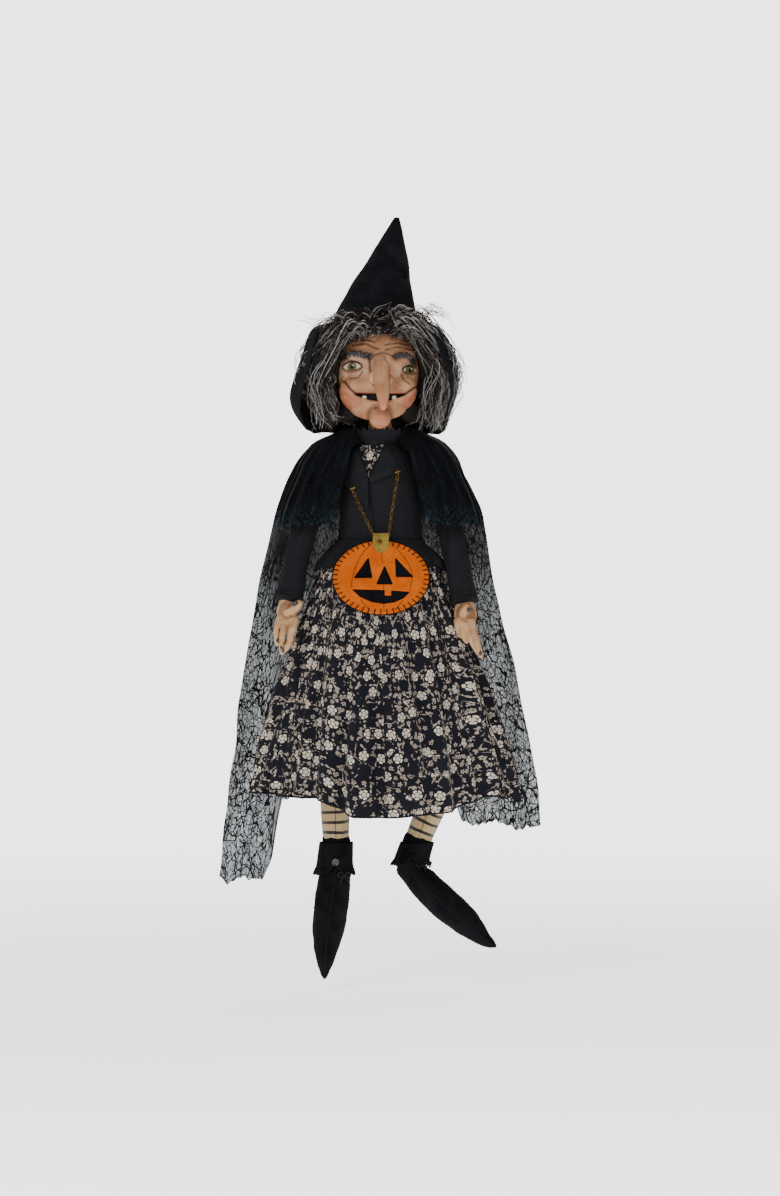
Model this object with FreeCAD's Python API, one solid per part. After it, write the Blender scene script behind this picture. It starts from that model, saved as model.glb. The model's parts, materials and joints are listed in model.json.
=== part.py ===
import FreeCAD, Part
import os

from FreeCAD import Vector

# A hanging cloth witch doll. Millimetres, +Z up, the doll faces -Y, its right hand is on -X.
# The origin is the centre of the brass eyelet behind the neck, which the doll hangs by.

UP = Vector(0, 0, 1)
RIGHT = Vector(1, 0, 0)
BACK = Vector(0, 1, 0)

BODY_Y = -30.0  # the middle plane of the body, neck, shoulders and hips
FAR = 400.0  # longer than anything that a trimming block has to reach past

# Hanging eyelet and its webbing tab
EYELET_BORE_R = 4.0
EYELET_BARREL_R = 4.6
EYELET_FLANGE_R = 6.5
EYELET_LENGTH = 3.0
TAB_HALF_WIDTH = 8.0
TAB_THICKNESS = 1.5
TAB_BOTTOM_Z = -60.0

# Torso, as the outside of the jacket: (height, half width, half depth)
TORSO = [(-12, 20, 18), (-22, 32, 23), (-38, 39, 26), (-75, 43, 28), (-110, 45, 28), (-128, 46, 30)]
FORM_INSET = 4.0
SHIRT_INSETS = (2.6, 3.6)
JACKET_INSETS = (0.7, 2.2)
LAPEL_INSETS = (-1.3, 0.2)
JACKET_HEM_Z = -119.0
SHIRT_HEM_Z = -124.0
SHIRT_TOP_Z = -14.0
NECKLINE = [(-26, -8), (7, -8), (-12, -50)]  # the jacket's open V, as (x, z)
RIGHT_LAPEL = [(-26, -13), (-38, -52), (-11, -84), (-12, -50)]
LEFT_LAPEL = [(7, -13), (19, -43), (-11, -53), (-11, -49)]
HIP_BLOCK = (17, 14, -165)  # half width, half depth, bottom

# Neck ruffle: (height, half width, half depth)
RUFFLE = ((-11.5, 22, 21), (-5, 26, 24), (0, 23, 21))

# Skirt: (height, centre x, half width, half depth)
SKIRT = [(-119, 0, 46.5, 31.5), (-137, 1, 62, 38), (-200, 1, 85, 50), (-272, 3, 110, 65),
         (-345, 5, 129, 80), (-395, 7, 138, 92)]
SKIRT_THICKNESS = 1.5
PEPLUM_INSETS = (-1.8, -0.6)
PEPLUM_BOTTOM_Z = -149.0
PEPLUM_INNER_X = 36.0

# Rods and rivets of the inner frame
ROD_R = 1.3
EYE_R = 5.0
EYE_THICKNESS = 2.6
EYE_OFFSET = 1.5  # from a joint's middle plane to the middle of each of its two eyes
RIVET_R = 1.5
RIVET_HEAD_R = 3.2
RUNNING_GAP = 0.05
CROSS_ROD_R = 2.0
CROSS_ROD_HEAD_R = 4.0
TUNNEL_R = 5.4  # the hollow in a stuffed limb where a cross rod enters it
SPINE_R = 4.0
NECK_POST_R = 7.0
NECK_POST_FLANGE_R = 10.0
NECK_POST_TOP_Z = 22.0

SHOULDER_Z = -35.0
HIP_Z = -150.0
SHOULDER_ROD_ENDS = (-66.0, 64.0)
HIP_ROD_ENDS = (-44.0, 44.0)

# Thigh of a stuffed leg, from its gathered top: (distance below the hip, radius)
THIGH_TOP = [(-13, 8), (-7, 13), (4, 16), (22, 17.4), (45, 18.2), (72, 18.5), (105, 18)]

# Limbs: the points that each limb bends at
LIMBS = {
    "right": {
        "side": -1,
        "shoulder": Vector(-60, BODY_Y, SHOULDER_Z),
        "elbow": Vector(-82, -36, -108),
        "wrist": Vector(-98, -58, -180),
        "fingertip": Vector(-107, -78, -238),
        "hip": Vector(-38, BODY_Y, HIP_Z),
        "knee": Vector(-50, -32, -295),
        "ankle": Vector(-47, BODY_Y, -448),
        "knee_axis": RIGHT,
    },
    "left": {
        "side": 1,
        "shoulder": Vector(58, BODY_Y, SHOULDER_Z),
        "elbow": Vector(76, -36, -108),
        "wrist": Vector(90, -58, -182),
        "fingertip": Vector(105, -80, -240),
        "hip": Vector(38, BODY_Y, HIP_Z),
        "knee": Vector(85, -32, -305),
        "ankle": Vector(37, BODY_Y, -448),
        "knee_axis": BACK,
    },
}
ELBOW_GAP = 12.0  # each stuffed sleeve stops this far from the elbow
KNEE_GAP = 9.0
ANKLE_GAP = 18.0
WRIST_PEG_LENGTH = 14.0

# Head
HEAD_CENTRE = Vector(-2, -36, 62)
HEAD_HALVES = Vector(46, 50, 56)
HEAD_WALL = 6.0
NECK_R = 14.0
NECK_BOTTOM_Z = -8.0
NOSE = [(Vector(-1, -80, 70), 7.0), (Vector(1, -103, 46), 9.0), (Vector(3, -115, 22), 3.5)]
JAW = (Vector(-2, -46, 34), Vector(36, 40, 30))
CHIN = (Vector(0, -82, 14), 12.0)
MOUTH = (Vector(-2, -80, 34), Vector(24, 10, 4.5))
TOOTH_XS = (-16.5, 15.0)
TOOTH_SIZE = Vector(5, 4, 5)

# Hat, wig and cape are bands bent round the back:
# (height, left end, middle of the back, right end), each end and middle as (x, y)
WIG = [(6, (-62, -48), (0, 21), (62, -48)), (40, (-74, -52), (0, 31), (74, -52)),
       (80, (-72, -52), (0, 31), (70, -52)), (110, (-58, -50), (0, 23), (54, -50))]
WIG_THICKNESS = 8.0
BRIM = [(4, (-72, -48), (0, 30), (66, -48)), (24, (-88, -52), (0, 38), (82, -52)),
        (64, (-86, -50), (0, 40), (84, -50)), (97, (-76, -45), (-1, 38), (72, -45)),
        (113, (-68, -40), (-3, 32), (62, -40))]
BRIM_THICKNESS = 2.0
BRIM_TOP_Z = 114.0
BRIM_HALVES = (65, 60)
NAPE_ARCH = (28, 18)  # the half width and the top of the gap over the eyelet
CROWN = [(114, -6, 45, 48), (140, -2, 37, 39), (175, 6, 24, 25), (205, 13, 12.5, 13), (230, 18, 1.5, 1.5)]
CROWN_Y = -30.0
CROWN_WALL = 1.8
CAPE = [(-9, (-30, -36), (0, 6), (30, -36)), (-22, (-76, -30), (0, 8), (76, -30)),
        (-40, (-92, -30), (0, 10), (92, -30)), (-84, (-112, -30), (0, 14), (110, -30)),
        (-161, (-130, -28), (0, 24), (122, -28)), (-262, (-148, -22), (0, 46), (147, -22)),
        (-367, (-161, -12), (0, 76), (168, -12)), (-487, (-175, 0), (0, 96), (181, 0))]
CAPE_THICKNESS = 1.2
CAPE_HEM = [(-119, -500), (-113, -392), (-60, -398), (85, -398), (95, -426), (200, -426), (200, -500)]
# The cape over one upper arm: (height, outer end, middle, inner end), with x outward from the spine
SHOULDER_PANEL = [(-12, (36, -38), (33, -45), (27, -50)), (-24, (72, -36), (58, -52), (34, -59)),
                  (-45, (88, -37), (76, -57), (42, -65)), (-75, (101, -38), (86, -62), (52, -64)),
                  (-108, (110, -42), (94, -66), (62, -62))]

# Boots: sections of the shaft and of the foot as (centre, half width, half depth), square to a direction
BOOTS = {
    "right": {
        "shaft": [(Vector(-47, -30, -435), 16.5, 17), (Vector(-47.5, -31, -460), 17, 19.5),
                  (Vector(-49.5, -35, -484), 18, 21.5)],
        "shaft_along": UP,
        "foot": [(Vector(-49.5, -35, -484), 18, 21.5), (Vector(-52.5, -43, -508), 19.3, 21.5),
                 (Vector(-55, -51, -530), 19.3, 18.5), (Vector(-57.5, -62, -556), 13.5, 13),
                 (Vector(-58.7, -70, -575), 7, 7), (Vector(-59, -73.5, -583), 2, 2)],
        "foot_along": UP,
        "button_side": -BACK,
        "bar_route": [Vector(-58.7, -70, -575)],
        "cuff_bottom": -480.0,
    },
    "left": {
        "shaft": [(Vector(41, -30, -435), 16.5, 16.5), (Vector(34, -31, -458), 17.5, 17.5),
                  (Vector(26, -32, -476), 13, 9)],
        "shaft_along": Vector(0.3, 0, 0.954),
        "foot": [(Vector(27, -32, -468), 12, 12), (Vector(47, -37, -485), 17.5, 17.5),
                 (Vector(67, -45, -504), 19.5, 17.8), (Vector(91, -55, -524), 16.5, 15.5),
                 (Vector(112, -65, -542), 8.5, 8.5), (Vector(124, -70, -549), 2, 2)],
        "foot_along": Vector(0.72, -0.2, -0.665),
        "button_side": Vector(0.954, 0, -0.3),
        "bar_route": [Vector(40, -35, -479), Vector(112, -65, -542)],
        "cuff_bottom": -466.0,
    },
}
BOOT_HOLLOW_R = 9.0
CUFF_INSETS = (-1.9, -0.5)
BUTTON_R = 4.0
BUTTON_THICKNESS = 2.4

# Pumpkin purse, built upright and then tilted out over the skirt
PURSE_CENTRE = Vector(1, 0, -158)
PURSE_HALVES = (51, 40)
PURSE_LAYERS = {"purse_front": (-4.0, -2.0), "purse_lining": (-2.0, -1.2), "purse_back": (-1.2, 0.0)}
PURSE_TILT = 13.5
PURSE_TOP_Y = -63.5
EYE_CUTS = [[(-13, 22), (-29, -1), (-9, -1)], [(15, 22), (16, 0), (35, 0)]]
NOSE_CUT = [(4, 13), (-5, -8), (13, -8)]
MOUTH_CUT = [(-31, -13), (-20, -13.5), (4, -14), (4, -20), (11, -20), (11, -14.5), (31, -16)]
MOUTH_BOTTOM = (3, -29)
PURSE_TAB_HALF_WIDTH = 8.5
PURSE_TAB_Z = (-131, -112)
BEAD_R = 2.5
CHAIN_R = 1.1
CHAIN_TACKS = [Vector(-29, -58, -61), Vector(19, -61.5, -43.6)]
CHAIN_LOWER_XS = (-7, 9)
CHAIN_RING_R = 2.4
TACK_R = 1.0
TACK_LENGTH = 5.4


def oval(centre, half_side, half_across, along=UP, side=RIGHT):
    """An elliptical wire round centre, square to along."""
    across = along.cross(side).normalize()
    circle = Part.Wire([Part.Circle(Vector(), UP, 1).toShape()])
    matrix = FreeCAD.Matrix(
        side.x * half_side, across.x * half_across, along.x, centre.x,
        side.y * half_side, across.y * half_across, along.y, centre.y,
        side.z * half_side, across.z * half_across, along.z, centre.z)
    return circle.transformGeometry(matrix)


def loft(wires, ruled=False):
    return Part.makeLoft(wires, True, ruled)


def outline(points, bottom=-FAR, top=FAR):
    """A prism along Y through an outline of (x, z) points, from y = bottom to y = top."""
    corners = [Vector(x, bottom, z) for x, z in points]
    face = Part.Face(Part.makePolygon(corners + corners[:1]))
    return face.extrude(Vector(0, top - bottom, 0))


def block(low, high):
    size = high - low
    return Part.makeBox(size.x, size.y, size.z, low)


def slab(bottom, top):
    """Everything between two heights."""
    return block(Vector(-FAR, -FAR, bottom), Vector(FAR, FAR, top))


def fused(shapes):
    return shapes[0].multiFuse(shapes[1:]).removeSplitter() if len(shapes) > 1 else shapes[0]


def rod(start, end, radius):
    return Part.makeCylinder(radius, (end - start).Length, start, end - start)


def ellipsoid(centre, halves):
    matrix = FreeCAD.Matrix()
    matrix.scale(halves)
    matrix.move(centre)
    return Part.makeSphere(1).transformGeometry(matrix)


def capsule(start, start_r, end, end_r):
    """A tapered rod with round ends."""
    along = end - start
    tapered = Part.makeCone(start_r, end_r, along.Length, start, along)
    return fused([tapered, Part.makeSphere(start_r, start), Part.makeSphere(end_r, end)])


def torso_solid(inset):
    return loft([oval(Vector(0, BODY_Y, z), a - inset, b - inset) for z, a, b in TORSO])


def torso_shell(insets):
    return torso_solid(insets[0]).cut(torso_solid(insets[1]))


def skirt_solid(inset):
    return loft([oval(Vector(x, BODY_Y, z), a - inset, b - inset) for z, x, a, b in SKIRT])


def bow(start, middle, end):
    """A parabolic edge from start to end through middle."""
    curve = Part.BezierCurve()
    curve.setPoles([start, middle * 2 - (start + end) / 2, end])
    return curve.toShape()


def band_section(near, far):
    """The closed outline between two bows of three points each."""
    return Part.Wire([bow(*near), Part.LineSegment(near[2], far[2]).toShape(),
                      bow(*far[::-1]), Part.LineSegment(far[0], near[0]).toShape()])


def bent_band(levels, thickness):
    """A sheet bent round the back, lofted from its lowest level to its highest."""
    wires = []
    for z, left, back, right in levels:
        outer = [Vector(x, y, z) for x, y in (left, back, right)]
        inner = [outer[0] + RIGHT * thickness, outer[1] - BACK * thickness, outer[2] - RIGHT * thickness]
        wires.append(band_section(outer, inner))
    return loft(wires, ruled=True)


def eye(centre, axis, hole_r):
    """One flat round eye of a rod, with its hole along axis."""
    start = centre - axis * (EYE_THICKNESS / 2)
    end = centre + axis * (EYE_THICKNESS / 2)
    return rod(start, end, EYE_R), rod(start - axis, end + axis, hole_r)


def rim_point(centre, target, axis):
    """Where a rod towards target leaves the eye at centre, inside the eye's thickness."""
    towards = target - centre
    flat = towards - axis * towards.dot(axis)
    return centre + flat.normalize() * (EYE_R - 1)


def eyed_bar(top, top_axis, top_hole, bottom, bottom_axis, bottom_hole):
    """A round bar with a flat eye at each end."""
    top_disc, top_bore = eye(top, top_axis, top_hole)
    bottom_disc, bottom_bore = eye(bottom, bottom_axis, bottom_hole)
    shank = rod(rim_point(top, bottom, top_axis), rim_point(bottom, top, bottom_axis), ROD_R)
    return fused([shank, top_disc, bottom_disc]).cut(top_bore).cut(bottom_bore)


def rivet(centre, axis):
    """A rivet through two eyes, with a head at each end."""
    inner = EYE_OFFSET + EYE_THICKNESS / 2 + 0.1
    outer = inner + 1.0
    shank = rod(centre - axis * outer, centre + axis * outer, RIVET_R)
    heads = [rod(centre + axis * (sign * inner), centre + axis * (sign * outer), RIVET_HEAD_R)
             for sign in (-1, 1)]
    return fused([shank] + heads)


def cross_rod(ends, z):
    """A rod along X through the body, with a head on each end."""
    start = Vector(ends[0], BODY_Y, z)
    end = Vector(ends[1], BODY_Y, z)
    heads = [rod(start - RIGHT * 1.5, start, CROSS_ROD_HEAD_R), rod(end, end + RIGHT * 1.5, CROSS_ROD_HEAD_R)]
    return fused([rod(start, end, CROSS_ROD_R)] + heads)


def limb(top, bottom, stations):
    """A stuffed tube along top to bottom: stations are (distance down from top, radius)."""
    down = (bottom - top).normalize()
    side = (RIGHT - down * down.dot(RIGHT)).normalize()
    return loft([oval(top + down * distance, radius, radius, -down, side) for distance, radius in stations])


def trunk_parts():
    """The stuffed body, its inner rods and the clothes sewn round it."""
    shoulder_rod = cross_rod(SHOULDER_ROD_ENDS, SHOULDER_Z)
    hip_rod = cross_rod(HIP_ROD_ENDS, HIP_Z)
    spine_foot = Vector(0, BODY_Y, HIP_Z + CROSS_ROD_R + 1)
    spine_top = Vector(0, BODY_Y, SHOULDER_Z - CROSS_ROD_R - 1)
    spine = rod(spine_foot, spine_top, SPINE_R)
    post_foot = Vector(0, BODY_Y, SHOULDER_Z + CROSS_ROD_R + 1)
    post_top = Vector(0, BODY_Y, NECK_POST_TOP_Z)
    flange = rod(post_top, post_top + UP * 3, NECK_POST_FLANGE_R)
    neck_post = fused([rod(post_foot, post_top, NECK_POST_R), flange])
    half_width, half_depth, bottom = HIP_BLOCK
    hips = block(Vector(-half_width, BODY_Y - half_depth, bottom),
                 Vector(half_width, BODY_Y + half_depth, -120))
    form = torso_solid(FORM_INSET).fuse(hips)
    for inner in (shoulder_rod, hip_rod, spine, neck_post):
        form = form.cut(inner)
    shirt = torso_shell(SHIRT_INSETS).common(slab(SHIRT_HEM_Z, SHIRT_TOP_Z)).cut(shoulder_rod)
    jacket = torso_shell(JACKET_INSETS).common(slab(JACKET_HEM_Z, SHIRT_TOP_Z)).cut(shoulder_rod)
    jacket = jacket.cut(outline(NECKLINE, -FAR, BODY_Y))
    lapel_layer = torso_shell(LAPEL_INSETS)
    lapels = [lapel_layer.common(outline(shape, -FAR, BODY_Y)).Solids[0]
              for shape in (RIGHT_LAPEL, LEFT_LAPEL)]
    ruffle = loft([oval(Vector(0, BODY_Y, z), a, b) for z, a, b in RUFFLE])
    ruffle = ruffle.cut(rod(Vector(0, BODY_Y, -20), Vector(0, BODY_Y, 20), NECK_R + 2))
    skirt = skirt_solid(0).cut(skirt_solid(SKIRT_THICKNESS))
    flare = skirt_solid(PEPLUM_INSETS[0]).cut(skirt_solid(PEPLUM_INSETS[1]))
    flare = flare.common(slab(PEPLUM_BOTTOM_Z, JACKET_HEM_Z - 1))
    peplum = flare.cut(block(Vector(-PEPLUM_INNER_X, -FAR, -FAR), Vector(PEPLUM_INNER_X, FAR, FAR)))
    return {
        "torso_form": form, "spine_rod": spine, "neck_post": neck_post, "shoulder_rod": shoulder_rod,
        "hip_rod": hip_rod, "shirt": shirt, "jacket": jacket, "jacket_lapels": Part.makeCompound(lapels),
        "jacket_peplum": peplum, "collar_ruffle": ruffle, "skirt": skirt,
    }


def hanger_parts():
    """The webbing tab and the brass eyelet that the doll hangs by."""
    half = BACK * (EYELET_LENGTH / 2)
    sheet = BACK * (TAB_THICKNESS / 2)
    strip = block(Vector(-TAB_HALF_WIDTH, -TAB_THICKNESS / 2, TAB_BOTTOM_Z),
                  Vector(TAB_HALF_WIDTH, TAB_THICKNESS / 2, 0))
    tab = strip.fuse(rod(-sheet, sheet, TAB_HALF_WIDTH)).removeSplitter()
    tab = tab.cut(rod(-half, half, EYELET_BARREL_R))
    eyelet = fused([rod(-half, half, EYELET_BARREL_R), rod(-half, -sheet, EYELET_FLANGE_R),
                    rod(sheet, half, EYELET_FLANGE_R)])
    eyelet = eyelet.cut(rod(-half * 2, half * 2, EYELET_BORE_R))
    return {"hanging_tab": tab, "hanging_eyelet": eyelet}


def cape_parts():
    """The net cape: its back, and the part over each upper arm."""
    back = bent_band(CAPE[::-1], CAPE_THICKNESS).cut(outline(CAPE_HEM))
    parts = {"cape_back": back}
    for name, limb_data in LIMBS.items():
        wires = []
        for z, outer, middle, inner in SHOULDER_PANEL[::-1]:
            front = [Vector(limb_data["side"] * x, y, z) for x, y in (outer, middle, inner)]
            rear = [point + BACK * CAPE_THICKNESS for point in front]
            wires.append(band_section(front, rear))
        parts[f"cape_shoulder_{name}"] = loft(wires)
    return parts


def head_parts():
    """The cast head with its teeth, the wig and the hat."""
    skull = ellipsoid(HEAD_CENTRE, HEAD_HALVES)
    neck_bottom = Vector(0, BODY_Y, NECK_BOTTOM_Z)
    neck = rod(neck_bottom, Vector(0, BODY_Y, 20), NECK_R)
    nose = [capsule(*NOSE[k], *NOSE[k + 1]) for k in range(2)]
    head = skull.multiFuse([ellipsoid(*JAW), neck, Part.makeSphere(CHIN[1], CHIN[0])] + nose)
    wall = Vector(HEAD_WALL, HEAD_WALL, HEAD_WALL)
    head = head.cut(ellipsoid(HEAD_CENTRE, HEAD_HALVES - wall))
    head = head.cut(rod(neck_bottom - UP, Vector(0, BODY_Y, 30), NECK_POST_R + RUNNING_GAP))
    head = head.cut(ellipsoid(*MOUTH))
    teeth = []
    for x in TOOTH_XS:
        low = Vector(x - TOOTH_SIZE.x / 2, MOUTH[0].y + 1, MOUTH[0].z - 2)
        teeth.append(block(low, low + TOOTH_SIZE))
    teeth = Part.makeCompound(teeth)
    head = head.cut(teeth)
    arch = block(Vector(-NAPE_ARCH[0], 0, -FAR), Vector(NAPE_ARCH[0], FAR, NAPE_ARCH[1]))
    wig = bent_band(WIG, WIG_THICKNESS).cut(arch)
    top = Vector(-4, -28, BRIM_TOP_Z - BRIM_THICKNESS)
    ring = loft([oval(top, *BRIM_HALVES), oval(top + UP * BRIM_THICKNESS, *BRIM_HALVES)])
    hole = CROWN[0]
    opening = [oval(Vector(hole[1], CROWN_Y, z), hole[2] - 5, hole[3] - 5) for z in (100, 130)]
    brim = ring.fuse(bent_band(BRIM, BRIM_THICKNESS)).cut(loft(opening)).cut(arch)
    crown = loft([oval(Vector(x, CROWN_Y, z), a, b) for z, x, a, b in CROWN])
    inside = [oval(Vector(x, CROWN_Y, z), a - CROWN_WALL, b - CROWN_WALL) for z, x, a, b in CROWN[:-1]]
    inside.append(oval(Vector(CROWN[-1][1] - 2, CROWN_Y, CROWN[-1][0] - 10), 0.5, 0.5))
    crown = crown.cut(loft(inside))
    return {"head": head, "teeth": teeth, "wig": wig, "hat_brim": brim, "hat_crown": crown}


def hand_solid(data, peg):
    """A cast hand: a palm, four fingers and a thumb round a wrist bore."""
    wrist = data["wrist"]
    down = (data["fingertip"] - wrist).normalize()
    side = (RIGHT - down * down.dot(RIGHT)).normalize() * data["side"]
    front = side.cross(down).normalize()
    if front.y > 0:
        front = -front
    palm_top = wrist + down * 2
    palm = loft([oval(palm_top, 8, 7.5, -down, side), oval(palm_top + down * 12, 10, 7.5, -down, side),
                 oval(palm_top + down * 30, 11.5, 6, -down, side)])
    pieces = [palm]
    for index, (spread, length) in enumerate(((-7.5, 20), (-2.5, 25), (2.8, 24), (7.8, 20))):
        root = palm_top + down * 27 + side * spread
        tip = root + down * length + side * (spread * 0.25) + front * (2 + index % 2)
        pieces.append(capsule(root, 3.6, tip, 2.6))
    thumb_root = palm_top + down * 14 - side * 8 + front * 3
    thumb_tip = thumb_root - down * 9 - side * 4 + front * 8
    pieces.append(capsule(thumb_root, 4.6, thumb_tip, 3.6))
    return fused(pieces).cut(peg)


def arm_parts(name, data):
    side, shoulder, elbow, wrist = (data[key] for key in ("side", "shoulder", "elbow", "wrist"))
    inner_eye = elbow - RIGHT * (side * EYE_OFFSET)
    outer_eye = elbow + RIGHT * (side * EYE_OFFSET)
    bar = eyed_bar(shoulder, RIGHT, CROSS_ROD_R + RUNNING_GAP, inner_eye, RIGHT, RIVET_R)
    tunnel = rod(shoulder - RIGHT * 20, shoulder + RIGHT * 20, TUNNEL_R)
    upper_length = (elbow - shoulder).Length
    sleeve = limb(shoulder, elbow, [(-12, 7), (-6, 11.5), (4, 13.5), (upper_length / 2, 13.5),
                                    (upper_length - ELBOW_GAP, 12.5)])
    disc, bore = eye(outer_eye, RIGHT, RIVET_R + RUNNING_GAP)
    shank_start = rim_point(outer_eye, wrist, RIGHT)
    reach = (wrist - shank_start).normalize()
    peg_end = wrist + reach * WRIST_PEG_LENGTH
    forearm_bar = fused([rod(shank_start, peg_end, ROD_R), disc]).cut(bore)
    print(f"wrist axis {name}: {[round(value, 4) for value in reach]}")
    lower_length = (wrist - elbow).Length
    cuff = limb(elbow, wrist, [(ELBOW_GAP, 12.5), (lower_length / 2, 13.5), (lower_length - 1, 14)])
    mouth = limb(elbow, wrist, [(lower_length - 16, 9), (lower_length + 2, 12.5)])
    running = rod(wrist - reach * 8, peg_end + reach, ROD_R + RUNNING_GAP)
    return {
        f"upper_sleeve_{name}": sleeve.cut(tunnel).cut(bar),
        f"upper_arm_bar_{name}": bar,
        f"elbow_rivet_{name}": rivet(elbow, RIGHT),
        f"forearm_sleeve_{name}": cuff.cut(mouth).cut(forearm_bar),
        f"forearm_bar_{name}": forearm_bar,
        f"hand_{name}": hand_solid(data, running),
    }


def boot_loft(sections, along, inset):
    """One stretch of a boot, grown by a negative inset."""
    level = RIGHT - along * along.dot(RIGHT) if abs(along.x) < 0.5 else along.cross(UP)
    side = level.normalize()
    return loft([oval(centre, a - inset, b - inset, along, side) for centre, a, b in sections], ruled=True)


def leg_parts(name, data):
    side, hip, knee, ankle, axis = (data[key] for key in ("side", "hip", "knee", "ankle", "knee_axis"))
    towards_body = RIGHT * -side if axis == RIGHT else -BACK
    thigh_bar = eyed_bar(hip, RIGHT, CROSS_ROD_R + RUNNING_GAP,
                         knee + towards_body * EYE_OFFSET, axis, RIVET_R)
    shin_bar = eyed_bar(knee - towards_body * EYE_OFFSET, axis, RIVET_R + RUNNING_GAP,
                        ankle + towards_body * EYE_OFFSET, axis, RIVET_R)
    tunnel = rod(hip - RIGHT * 30, hip + RIGHT * 30, TUNNEL_R)
    thigh_length = (knee - hip).Length
    thigh = limb(hip, knee, THIGH_TOP + [(thigh_length - KNEE_GAP, 17)])
    shin_length = (ankle - knee).Length
    shin = limb(knee, ankle, [(KNEE_GAP, 17), (shin_length / 2, 17.5), (shin_length - ANKLE_GAP, 13.5)])
    boot_data = BOOTS[name]
    foot_eye = ankle - towards_body * EYE_OFFSET
    disc, bore = eye(foot_eye, axis, RIVET_R + RUNNING_GAP)
    route = [rim_point(foot_eye, boot_data["bar_route"][0], axis)] + boot_data["bar_route"]
    stretches = [rod(start, end, ROD_R) for start, end in zip(route, route[1:])]
    bends = [Part.makeSphere(ROD_R, point) for point in route[1:-1]]
    foot_bar = fused(stretches + bends + [disc]).cut(bore)
    up_leg = (knee - ankle).normalize()
    hollow = fused([Part.makeSphere(BOOT_HOLLOW_R, ankle),
                    rod(ankle, ankle + up_leg * 30, BOOT_HOLLOW_R - 1)])
    shaft, shaft_along = boot_data["shaft"], boot_data["shaft_along"]
    foot, foot_along = boot_data["foot"], boot_data["foot_along"]
    boot = boot_loft(shaft, shaft_along, 0).fuse(boot_loft(foot, foot_along, 0))
    boot = boot.cut(hollow).cut(foot_bar)
    foot_room = boot_loft(foot, foot_along, CUFF_INSETS[1])
    outer, inner = (boot_loft(shaft, shaft_along, inset) for inset in CUFF_INSETS)
    cuff = outer.cut(inner).cut(foot_room).common(slab(boot_data["cuff_bottom"], FAR))
    cuff = max(cuff.Solids, key=lambda solid: solid.Volume)
    button_side = boot_data["button_side"]
    centre, _, half_depth = shaft[1]
    button_at = centre + button_side * (half_depth - CUFF_INSETS[0] + 0.2)
    button = rod(button_at, button_at + button_side * BUTTON_THICKNESS, BUTTON_R).cut(foot_room).cut(outer)
    return {
        f"thigh_stocking_{name}": thigh.cut(tunnel).cut(thigh_bar),
        f"thigh_bar_{name}": thigh_bar,
        f"knee_rivet_{name}": rivet(knee, axis),
        f"shin_stocking_{name}": shin.cut(shin_bar),
        f"shin_bar_{name}": shin_bar,
        f"ankle_rivet_{name}": rivet(ankle, axis),
        f"foot_bar_{name}": foot_bar,
        f"boot_{name}": boot,
        f"boot_cuff_{name}": cuff,
        f"boot_button_{name}": button,
    }


def tilted(shape):
    """Carries a shape from the purse's own upright plane to where the purse hangs."""
    top = Vector(0, 0, PURSE_CENTRE.z + PURSE_HALVES[1])
    copy = shape.copy()
    copy.rotate(top, RIGHT, -PURSE_TILT)
    copy.translate(Vector(0, PURSE_TOP_Y, 0))
    return copy


def face_cut(points, arc_middle=None):
    """A cutter through the purse's front, round an outline about the purse's centre."""
    corners = [PURSE_CENTRE + Vector(x, -FAR, z) for x, z in points]
    edges = [Part.LineSegment(a, b).toShape() for a, b in zip(corners, corners[1:])]
    if arc_middle:
        middle = PURSE_CENTRE + Vector(arc_middle[0], -FAR, arc_middle[1])
        edges.append(Part.Arc(corners[-1], middle, corners[0]).toShape())
    else:
        edges.append(Part.LineSegment(corners[-1], corners[0]).toShape())
    return Part.Face(Part.Wire(edges)).extrude(Vector(0, 2 * FAR, 0))


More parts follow.
